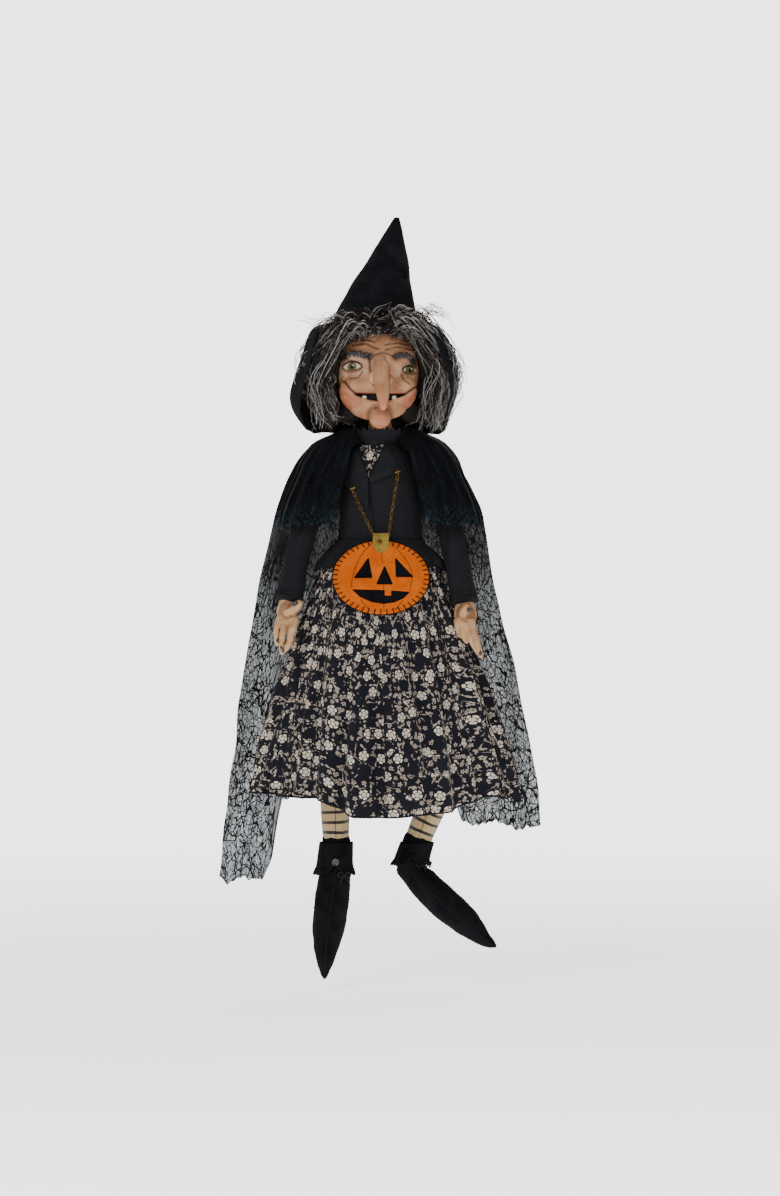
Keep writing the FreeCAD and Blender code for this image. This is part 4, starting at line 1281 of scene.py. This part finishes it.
def build_cape_shoulder(side):
    rows, opacity = [], []
    for t in shares(56):
        z = CAPE[0][0] - PANEL_LENGTH * t
        row, shade = [], []
        for u in shares(91):
            crown = bow(*band(SHOULDERS[side], z), u)
            fold = math.sin(u * 30 + 2.5 * ripple(u * 3, z / 60, 3)) * (0.6 + 2.2 * ease(-9, -60, z))
            ragged = 5.0 * ripple(u * 18, 1, 9) * ease(-80, -100, z)
            row.append(crown + Vector((0, -1.2 - fold, ragged)))
            shade.append(min(1, max(0, 0.97 - 0.2 * ease(-70, -100, z) + 0.12 * ripple(u * 14, z / 20, 4))))
        rows.append(row)
        opacity.append(shade)
    panel = net_sheet("cape_shoulder_net_" + side, rows, opacity, (90, 100))
    start, end = (Vector((SIDES[side] * x, BODY_Y, -35)) for x in (40, 74))
    crossing(panel, "web_net", ("torso", "upper_arm_" + side), start, end, "cape_shoulder_" + side)


# ---------------------------------------------------------------- arms and hands

# Shoulder, elbow and wrist of each arm.
ARM = {"right": ((-60, -30, -35), (-82, -36, -108), (-98, -58, -180)),
       "left": ((58, -30, -35), (76, -36, -108), (90, -58, -182))}
SLEEVE_RADII = ((0, 14.5), (0.15, 15.5), (0.5, 13.8), (0.8, 13.2), (1, 14.6))


def tube_rows(points, radii, steps, around, wrinkle, seed):
    """Rings along a smooth path, wrinkled like a stuffed cloth tube."""
    line = curve_through(points, steps)
    rows = []
    side = Vector((1, 0, 0))
    for i, point in enumerate(line):
        along = (line[min(i + 1, steps)] - line[max(i - 1, 0)]).normalized()
        side = (side - along * side.dot(along)).normalized()
        front = along.cross(side)
        radius = between(radii, i / steps)[0]
        row = []
        for turn in turns(around):
            d = side * math.sin(turn) + front * math.cos(turn)
            fold = ripple(d.x * 1.2 + d.z, d.y * 1.6, (i / steps) * 9 + 1.4 * math.sin(turn), seed)
            row.append(point + d * (radius + wrinkle * fold))
        rows.append(row)
    return rows


def closed_ends(rows):
    """Adds shrinking rings so that a tube ends in a gathered, rounded cap."""
    def cap(row, neighbour):
        middle = sum(row, Vector()) / len(row)
        back = (middle - sum(neighbour, Vector()) / len(row)).normalized()
        return [[middle + (p - middle) * math.cos(a) + back * 4 * math.sin(a) for p in row]
                for a in (0.5, 1.0, 1.35, 1.55)]
    return list(reversed(cap(rows[0], rows[1]))) + rows + cap(rows[-1], rows[-2])


def build_limb(name, side, slot, spots, tube, size, bodies, nodes, reach):
    """A stuffed tube of cloth across the joint between two bodies, closed at both ends."""
    top, joint, end = (Vector(spot) for spot in spots)
    rows = closed_ends(tube_rows(spots, *tube))
    limb = sheet_mesh(name + side, rows, MATERIALS[slot], True, size)
    start, stop = (joint + (spot - joint).normalized() * reach for spot in (top, end))
    crossing(limb, slot, [body + side for body in bodies], start, stop, *[node + side for node in nodes])


def build_sleeve(side):
    build_limb("sleeve_", side, "black_cotton", ARM[side], (SLEEVE_RADII, 70, 72, 1.8, SIDES[side]),
               (90, 160), ("upper_arm_", "forearm_"), ("upper_sleeve_", "forearm_sleeve_"), 16)
    rings = tube_rows(ARM[side][1:], ((0, 13.4), (1, 14.8)), 40, 48, 0.9, 2)
    trim("sleeve_hem_" + side, "forearm_" + side, (rings[37], 0.8, 0.1, 5, True),
         (rings[40], 1.1, 0.1, 5, True))


# The palm and each finger of a hand: points along its middle, and radii from root to tip.
HANDS = {
    "right": {
        "palm": (((-98, -57, -182), (-99, -61, -192), (-100, -66, -204)), (9.5, 11, 9.5)),
        "fingers": (
            (((-94, -69, -203), (-94, -76, -214), (-96, -81, -226), (-104, -82, -236)), (4.3, 4.2, 3.6, 2.8)),
            (((-101, -69, -204), (-103, -76, -215), (-104, -78, -226), (-105, -77, -233)),
             (3.9, 3.6, 3.1, 2.5)),
            (((-107, -66, -200), (-110, -71, -211), (-110, -73, -220), (-109, -73, -227)),
             (3.8, 3.4, 3.0, 2.4)),
            (((-90, -66, -199), (-90, -74, -205), (-93, -77, -212), (-96, -74, -216)), (3.8, 3.6, 3.2, 2.8)),
            (((-99, -66, -194), (-92, -72, -191), (-88, -74, -187), (-86, -74, -184)),
             (5.5, 5.4, 4.9, 4.2)))},
    "left": {
        "palm": (((90, -57, -184), (91, -61, -195), (92, -65, -207)), (10, 12.2, 10)),
        "fingers": (
            (((97, -70, -203), (100, -77, -216), (104, -81, -229), (107, -82, -239)), (4.4, 4.1, 3.6, 2.9)),
            (((91, -70, -208), (95, -75, -219), (100, -77, -229), (104, -77, -236)), (3.8, 3.5, 3.0, 2.4)),
            (((86, -67, -206), (88, -72, -215), (90, -72, -221), (92, -69, -224)), (3.8, 3.4, 3.0, 2.6)),
            (((82, -63, -203), (83, -68, -211), (85, -68, -217), (87, -65, -219)), (3.6, 3.2, 2.8, 2.4)),
            (((88, -66, -196), (89, -72, -193), (91, -75, -190), (92, -75, -188)), (6.2, 6.2, 5.8, 5.0)))},
}
# The middle, half sizes and tilt of each painted nail that shows.
NAILS = {"right": (((-90, -79, -184), (3.4, 1.2, 2.4), 0.5), ((-102.5, -84.5, -233), (1.5, 0.9, 3.2), 0.35),
                   ((-104.5, -80, -230), (1.3, 0.9, 3.0), 0.0), ((-109, -75.6, -223), (1.2, 0.9, 2.6), 0.0)),
         "left": (((94.4, -80.4, -190.5), (2.4, 1.2, 2.6), 0.2),
                  ((106.4, -84.4, -236.5), (1.5, 0.9, 3.2), -0.3),
                  ((103.4, -79.6, -233), (1.3, 0.9, 2.6), -0.3))}


def build_hand(side):
    spots, radii = HANDS[side]["palm"]
    blobs = [(centre, (r[0], r[1] * 0.85, r[2])) for centre, r in chain(spots, radii, 10)]
    for points, thickness in HANDS[side]["fingers"]:
        blobs += chain(points, thickness, 22)
    wrist = Vector(ARM[side][-1])
    blobs += chain([wrist + Vector((0, 5, 9)), wrist], (8, 9), 5)
    hand = merged("hand_skin_" + side, blobs, 0.6, MATERIALS["hand_resin"], 4)
    points = roughen(hand, (0.3, 5, 4))
    paint = np.tile((0.50, 0.28, 0.13), (len(points), 1)).astype(float)
    coat(paint, (0.64, 0.41, 0.22), 0.5 + noise_over(points, 9, 5))
    # Painted shade: darker brown on the front of the hand wherever it lies away from every finger's middle
    # line, in the gaps between the fingers.
    hollow = np.full(len(points), 9e9)
    for line, _ in HANDS[side]["fingers"]:
        x, _, z = points.T
        hollow = np.minimum(hollow, line_distance([(p[0], p[2]) for p in line], x, z))
    coat(paint, (0.22, 0.09, 0.035), 0.75 * np.clip((hollow - 2.6) / 2, 0, 1) * (points[:, 1] < -66))
    store_paint(hand, paint)
    piece(hand, "hand_" + side, "hand_resin", "hand_" + side)
    nails = [((x + dx * math.cos(tilt), y, z + dx * math.sin(tilt)), (wide * 0.75, deep, high))
             for (x, y, z), (wide, deep, high), tilt in NAILS[side] for dx in (-wide * 0.35, wide * 0.35)]
    piece(merged("nails_" + side, nails, 0.3, MATERIALS["button_black"], 2), "hand_" + side, "button_black")


# ---------------------------------------------------------------- legs and boots

# Hip, knee and ankle of each leg.
LEG = {"right": ((-38, -30, -150), (-50, -32, -295), (-47, -30, -448)),
       "left": ((38, -30, -150), (85, -32, -305), (37, -30, -448))}
LEG_RADII = ((0, 15), (0.08, 17), (0.28, 18.2), (0.5, 16.4), (0.7, 17.2), (1, 13.4))
# Each boot in one or two runs: points along its middle, and radii from top to toe.
BOOTS = {
    "right": (([(-47, -30, -440), (-47.5, -31, -460), (-49.5, -35, -484), (-52.5, -43, -508),
                (-55, -51, -530), (-57.5, -61, -554), (-58.7, -69, -573), (-59, -73, -581)],
               (15.5, 16.5, 18, 19, 18, 12.5, 6, 2.4)),),
    "left": (([(40, -30, -440), (34, -31, -456), (31, -32, -468)], (15.5, 16, 13)),
             ([(29, -32, -469), (47, -37, -484), (67, -44, -503), (91, -54, -523), (111, -64, -541),
               (122, -69, -548)], (11.5, 16.5, 18, 15.5, 7.6, 2.4))),
}
# Top, bottom, radius at each, and how far the lower edge flares.
CUFFS = {"right": ((-47, -30, -440), (-48.6, -32, -474), (17.6, 19.6), 1.2),
         "left": ((40, -30, -440), (33, -31, -464), (17.8, 18.8), 0.9)}


# The buttons' facing, the middle of each bow, and a button's outline as (radius, height).
BUTTON_FACING = {"right": Vector((0, -1, 0)), "left": Vector((0.954, 0, -0.3))}
KNOTS = {"right": Vector((-38, -52, -474)), "left": Vector((45, -44, -463))}
BUTTON_PROFILE = ((0.05, 0.9), (1.2, 0.9), (1.6, 0.5), (2.7, 0.7), (3.3, 1.3), (3.9, 0.9), (4.0, 0.2),
                  (3.6, -0.6), (0.05, -1.0))
BOW_LOOP = ((0, 0, 0), (4, -1.5, 3), (6.5, -1, 0), (4, -1, -2.5), (0, 0, 0))
BOW_TAIL = ((0, 0, 0), (2.5, -1.2, -4), (4.5, 0, -8))
BOW_WRAP = ((0, -1, 1.6), (0, -2.4, 0), (0, -1, -1.6))


def build_leg(side):
    spots = [Vector(spot) for spot in LEG[side]]
    build_limb("stocking_", side, "stocking", spots, (LEG_RADII, 150, 72, 0.7, 3 * SIDES[side]),
               (100, arc(spots)), ("thigh_", "shin_"), ("thigh_stocking_", "shin_stocking_"), 20)
    front = tube_rows(spots[1:], ((0, 16.6), (0.4, 17.4), (1, 13.6)), 60, 4, 0, 0)
    seam = [row[0] if row[0].y < row[2].y else row[2] for row in front]
    trim("stocking_seam_" + side, "shin_" + side, (seam[12:58], 0.35, 0.1, 4), material=BLACK_THREAD)


def build_boot(side):
    blobs = []
    for points, radii in BOOTS[side]:
        blobs += chain(points, radii, 34)
    boot = merged("boot_felt_" + side, blobs, 1.1, MATERIALS["black_felt"], 5)
    roughen(boot, (0.8, 13, 4), (0.25, 3, 5))
    body = "foot_" + side
    piece(boot, body, "black_felt", "boot_" + side)
    surface = surface_of(boot)
    foot = BOOTS[side][-1][0]
    hits = [front_of(surface, point.x, point.z) for point in curve_through(foot[1:], 60)]
    line = [hit - INWARD * 0.2 for hit in hits if hit]
    seam = [(line, 0.7, 0.1, 5)]
    for a, b in zip(line[::2], line[1::2]):
        across = (b - a).cross(INWARD).normalized() * 2.2
        for sign in (-1, 1):
            root = (a + b) / 2 + across * sign
            hit = front_of(surface, root.x, root.z)
            if hit:
                seam.append(([hit + (a - b) * 0.35, hit - INWARD * 0.6, hit + (b - a) * 0.35], 0.3, 0.2, 4))
    trim("boot_seam_" + side, body, *seam, material=BLACK_THREAD)
    build_cuff(side, body)
    build_button_and_bow(side, body)


def build_cuff(side, body):
    top, bottom, radii, wave = CUFFS[side]
    top, bottom = Vector(top), Vector(bottom)
    rows = []
    for t in shares(17):
        row = []
        for turn in turns(240):
            front = abs((turn + math.pi) % (2 * math.pi) - math.pi)
            notch = 10 * ease(0.42, 0.0, front) * t
            teeth = 2.2 * (2 * abs((turn * 26 / (2 * math.pi)) % 1 - 0.5) - 0.5) * ease(0.8, 1, t)
            centre = top + (bottom - top) * t
            radius = radii[0] + (radii[1] - radii[0]) * t + 0.9 * math.sin(turn * 7) * t
            flare = 2.2 * ease(0.7, 1, t) * wave
            row.append(centre + Vector((math.sin(turn) * (radius + flare), -math.cos(turn) * (radius + flare),
                                        notch + teeth)))
        rows.append(row)
    cloth("boot_cuff_felt_" + side, rows, "black_felt", body, "boot_cuff_" + side, "folded",
          ["boot_felt_" + side], True, (110, 34), 1.3)


def build_button_and_bow(side, body):
    facing = BUTTON_FACING[side]
    flat = facing.orthogonal().normalized()
    turned("boot_button_moulded_" + side, "button_black", body, "boot_button_" + side,
           (flat, facing.cross(flat), facing), 40, BUTTON_PROFILE)
    lines = []
    for sign in (-1, 1):
        for spots, steps, radius in ((BOW_LOOP, 16, 1.0), (BOW_TAIL, 8, 0.9)):
            path = [KNOTS[side] + Vector((x * sign, y, z)) for x, y, z in spots]
            lines.append((curve_through(path, steps), radius, 0.1, 5))
    wrap = [KNOTS[side] + Vector(spot) for spot in BOW_WRAP]
    trim("boot_bow_" + side, body, *lines, (wrap, 1.5, 0.1, 6))


# ---------------------------------------------------------------- purse

PURSE_HALVES = (51, 40)
PURSE_CENTRE = Vector((1, 0, -158))
PURSE_HINGE_Z = -118
PURSE_TILT = (Matrix.Translation((0, -63.5, PURSE_HINGE_Z)) @ Matrix.Rotation(math.radians(-13.5), 4, "X")
              @ Matrix.Translation((0, 0, -PURSE_HINGE_Z)))
FACE_CUTS = (((-13, 22), (-29, -1), (-9, -1)), ((15, 22), (16, 0), (35, 0)), ((4, 13), (-5, -8), (13, -8)),
             ((-31, -13), (-20, -13.5), (4, -14), (4, -20), (11, -20), (11, -14.5), (31, -16), (24, -23),
              (14, -27.5), (3, -29), (-10, -27), (-22, -21.5)))
BLANKET_STITCHES = 46
RIBS = (((-9, 38), (-22, 22), (-30, 0), (-31, -12)), ((10, 38), (26, 20), (33, 4), (31, -14)),
        ((0.5, 30), (1.5, 14)), ((3, -8), (3, -14)), ((3, -29), (3.4, -39)), ((-22, -24), (-12, -36)),
        ((24, -25), (15, -36)))
BEAD_PROFILE = ((0.6, -2.3), (1.1, -2.5), (1.9, -1.9), (2.5, -0.6), (2.5, 0.4), (1.6, 1.8), (0.4, 2.0))
# Where each side of the chain hangs on its tack, and the x at which it reaches the tab.
CHAINS = (((-29, -61, -61), -7), ((19, -64, -43.6), 9))
LINK_PITCH = 3.9


def tilt(point):
    return PURSE_TILT @ Vector(point)


def felt_oval(part, slot, low_y, high_y, cuts=(), puff=0.0, shrink=0.0):
    """An oval of felt cut by outlines, slightly domed, laid in the purse's tilted plane."""
    name = f"purse_{part}_felt"
    curve = bpy.data.curves.new(name, "CURVE")
    curve.dimensions = "2D"
    curve.fill_mode = "BOTH"
    curve.extrude = (high_y - low_y) / 2 * MM
    wide, high = (half - shrink for half in PURSE_HALVES)
    oval = [(wide * math.cos(a), high * math.sin(a)) for a in turns(96)]
    for outline in [oval, *cuts]:
        line = curve.splines.new("POLY")
        line.points.add(len(outline) - 1)
        for spot, (x, z) in zip(line.points, outline):
            spot.co = (x * MM, z * MM, 0, 1)
        line.use_cyclic_u = True
    shape = add_object(name + "_outline", curve)
    graph = bpy.context.evaluated_depsgraph_get()
    mesh = bpy.data.meshes.new_from_object(shape.evaluated_get(graph))
    bpy.data.objects.remove(shape)
    mesh.materials.clear()
    mesh.materials.append(MATERIALS[slot])
    obj = remeshed(add_object(name, mesh), 0.55, 3)
    points = points_of(obj)
    out = np.hypot(points[:, 0] / PURSE_HALVES[0], points[:, 1] / PURSE_HALVES[1])
    dome = puff * np.clip(1 - out ** 2, 0, 1) + 0.35 * noise_over(points, 11, 3)
    placed = np.column_stack([points[:, 0] + PURSE_CENTRE.x, (low_y + high_y) / 2 - points[:, 2] - dome,
                              points[:, 1] + PURSE_CENTRE.z])
    set_points(obj, np.array([tilt(p) for p in placed]))
    piece(obj, "purse", slot, "purse_" + part)
    wide, high = (2 * half * MM for half in PURSE_HALVES)


def build_purse():
    felt_oval("front", "orange_felt", -4, -2.05, FACE_CUTS, 1.6, 0)
    felt_oval("lining", "black_felt", -1.95, -1.2, (), 1.4, 1.6)
    felt_oval("back", "orange_felt", -1.1, 0, (), -1.0)
    build_stitches()
    build_tab()
    axes = (Vector((1, 0, 0)), Vector((0, 0, 1)), INWARD)
    turned("purse_bead_turned", "brass", "purse", "purse_bead", axes, 32, BEAD_PROFILE)
    build_chain()


def build_stitches():
    """Blanket stitches and a cord round the rim, and the sewn ribs of the pumpkin."""
    stitches = Strands()
    rim = []
    for k in range(BLANKET_STITCHES):
        a = 2 * math.pi * (k + 0.5) / BLANKET_STITCHES
        edge = Vector(((PURSE_HALVES[0] + 0.3) * math.cos(a), 0, (PURSE_HALVES[1] + 0.3) * math.sin(a)))
        inner = edge * (1 - 5.2 / edge.length)
        lean = 0.25 * math.sin(k * 3.7)
        front_in = PURSE_CENTRE + inner + Vector((lean, -4.7, 0))
        front_out = PURSE_CENTRE + edge + Vector((0, -3.9, 0))
        behind = PURSE_CENTRE + edge + Vector((0, 0.3, 0))
        stitches.add([tilt(front_in), tilt(front_in.lerp(front_out, 0.5) + Vector((0, -0.35, 0))),
                      tilt(front_out), tilt(behind)], 0.62, 0.1, 5)
        rim.append(tilt(PURSE_CENTRE + edge * 1.008 + Vector((0, -2, 0))))
    stitches.add(curve_through(rim + rim[:1], 180), 0.5, 0.1, 5)
    for rib in RIBS:
        line = curve_through([(x, 0, z) for x, z in rib], 14)
        placed = []
        for point in line:
            out = math.hypot(point.x / PURSE_HALVES[0], point.z / PURSE_HALVES[1])
            placed.append(tilt(PURSE_CENTRE + point + Vector((0, -4.0 - 1.6 * (1 - out * out), 0))))
        stitches.add(placed, 0.34, 0.2, 4)
    piece(stitches.make("purse_stitches", BLACK_THREAD), "purse", "black_cotton")


def build_tab():
    """A strip of suede rolled over the chain and down the front, with a rounded end."""
    rows = []
    for t in shares(31):
        if t < 0.22:
            turn = math.pi * (1.15 - t / 0.22)
            y, z = -2.4 + 2.6 * math.cos(turn), -112 + 2.2 * math.sin(turn)
        else:
            y, z = -5.1 - 0.4 * math.sin(t * 5), -112.5 - 18.5 * (t - 0.22) / 0.78
        half = 8.5 * math.sqrt(max(0.02, 1 - max(0, (-121 - z) / 10.4) ** 2))
        rows.append([tilt((PURSE_CENTRE.x + half * (share * 2 - 1), y, z)) for share in shares(13)])
    cloth("purse_tab_suede", rows, "mustard_suede", "purse", "purse_tab", "folded", ["purse_front_felt"],
          False, (17, 26), 1.1)


def build_chain():
    """Real links from each tack down to the roll of the tab, every second one turned on edge."""
    links = Strands()
    for top, low_x in CHAINS:
        start = Vector(top) + Vector((0, 0, -3))
        end = tilt((low_x, -2.4, -111.2))
        count = round((end - start).length / LINK_PITCH)
        along = (end - start).normalized()
        face = along.cross(INWARD).normalized()
        edge = along.cross(face)
        for k in range(count + 1):
            spot = start.lerp(end, k / count) + Vector((0, 0.6 * math.sin(math.pi * k / count), 0))
            across = (face * 0.9 + edge * 0.45 if k % 2 else edge * 0.9 - face * 0.45).normalized()
            ring = [spot + along * (2.6 * math.cos(a)) + across * (1.45 * math.sin(a)) for a in turns(18)]
            links.add(ring, 0.33, 0.5, 6, True)
    piece(links.make("purse_chain_links", MATERIALS["brass"]), "purse", "brass", "purse_chain")


# ---------------------------------------------------------------- hanging tab, metal and room

TAB_WIDTH = 16
EYELET_HOLE = 4.7


def build_hanging_tab():
    """Webbing round the eyelet behind the neck: rings of points from the hole out to the tab's outline."""
    middle = centre_of("hanging_tab").y
    half = TAB_WIDTH / 2
    rows = []
    for t in shares(25):
        row = []
        for share in shares(97):
            a = 2 * math.pi * share
            outer_x, outer_z = half * math.sin(a), half * math.cos(a)
            if outer_z < 0:
                outer_x = half * max(-1, min(1, 1.35 * math.sin(a)))
                outer_z = -59 * max(0, -math.cos(a)) ** 3 - 2
            inner = Vector((EYELET_HOLE * math.sin(a), middle, EYELET_HOLE * math.cos(a)))
            bent = Vector((0, 0.15 * math.sin(outer_z * t), 0))
            row.append(inner.lerp(Vector((outer_x, middle, outer_z)), t) + bent)
        rows.append(row)
    tab = thicken(sheet_mesh("hanging_tab_webbing", rows, MATERIALS["black_cotton"], size=(60, 60)), 1.4)
    piece(tab, "torso", "black_cotton", "hanging_tab")


def finish_plain_metal():
    """The small turned metal parts keep their CAD shapes and get worn metal."""
    steel = ["spine_rod", "neck_post", "shoulder_rod", "hip_rod"]
    for side in SIDES:
        steel += [f"{part}_{side}" for part in ("upper_arm_bar", "forearm_bar", "elbow_rivet", "thigh_bar",
                                                "knee_rivet", "shin_bar", "ankle_rivet", "foot_bar")]
    for name in steel + ["hanging_eyelet", "purse_tacks"]:
        mesh = bpy.data.objects[name].data
        mesh.materials.clear()
        mesh.materials.append(MATERIALS["steel_rod" if name in steel else "brass"])


def build_floor():
    """A pale floor disc below the boots that fades out towards its rim."""
    level = min(box("boot_" + side)[0].z for side in SIDES) - FLOOR_GAP
    rows, fade = [], []
    for t in shares(61):
        radius = FLOOR_RADIUS * t
        rows.append([Vector((math.cos(a) * radius, math.sin(a) * radius, level)) for a in turns(96)])
        fade += [1 - ease(0.12, 0.98, t)] * 96
    s = Shader("studio_paper", roughness=0.9, specular=0.1)
    s.colour(s.mix(s.noise(3, 2), (0.88, 0.88, 0.88), (0.92, 0.92, 0.92)))
    s.surface.inputs["Emission Color"].default_value = (1, 1, 1, 1)
    s.surface.inputs["Emission Strength"].default_value = FLOOR_GLOW
    s.set(s.surface, "Alpha", s.attribute("fade"))
    floor = sheet_mesh("studio_floor", rows, s.material, True)
    store_value(floor, "fade", fade)


def light_room():
    """Soft lights on the doll, low ambient light, and a bright surround that only the camera sees."""
    for name, place, size, power in LIGHTS:
        light = bpy.data.lights.new(name, "AREA")
        light.size = size
        light.energy = power
        lamp = add_object(name, light)
        lamp.location = place
        lamp.rotation_euler = (Vector(LIGHT_TARGET) - lamp.location).to_track_quat("-Z", "Y").to_euler()
    world = bpy.data.worlds.new("studio")
    world.use_nodes = True
    nodes, links = world.node_tree.nodes, world.node_tree.links
    strength = nodes.new("ShaderNodeMapRange")
    strength.inputs["To Min"].default_value = AMBIENT
    strength.inputs["To Max"].default_value = SURROUND
    links.new(nodes.new("ShaderNodeLightPath").outputs["Is Camera Ray"], strength.inputs["Value"])
    nodes["Background"].inputs["Color"].default_value = (1, 1, 1, 1)
    links.new(strength.outputs[0], nodes["Background"].inputs["Strength"])
    bpy.context.scene.world = world


def place_camera():
    camera = bpy.data.cameras.new("camera")
    camera.lens = CAMERA_LENS
    camera.sensor_fit = "VERTICAL"
    camera.sensor_height = SENSOR_HEIGHT
    eye = add_object("camera", camera)
    eye.location = Vector((VIEW_CENTRE[0], BODY_Y - CAMERA_DISTANCE, VIEW_CENTRE[1])) * MM
    eye.rotation_euler = (math.pi / 2, 0, 0)
    bpy.context.scene.camera = eye


build_head()
build_hair()
build_crown()
build_brim()
build_shirt_and_form()
build_jacket()
build_lapel("lapel_right", RIGHT_LAPEL)
build_lapel("lapel_left", LEFT_LAPEL)
build_ruffle()
build_skirt()
build_peplum()
build_cape_back()
for side_name in SIDES:
    build_sleeve(side_name)
    build_cape_shoulder(side_name)
    build_hand(side_name)
    build_leg(side_name)
    build_boot(side_name)
build_purse()
build_hanging_tab()
finish_plain_metal()
build_floor()
light_room()
place_camera()
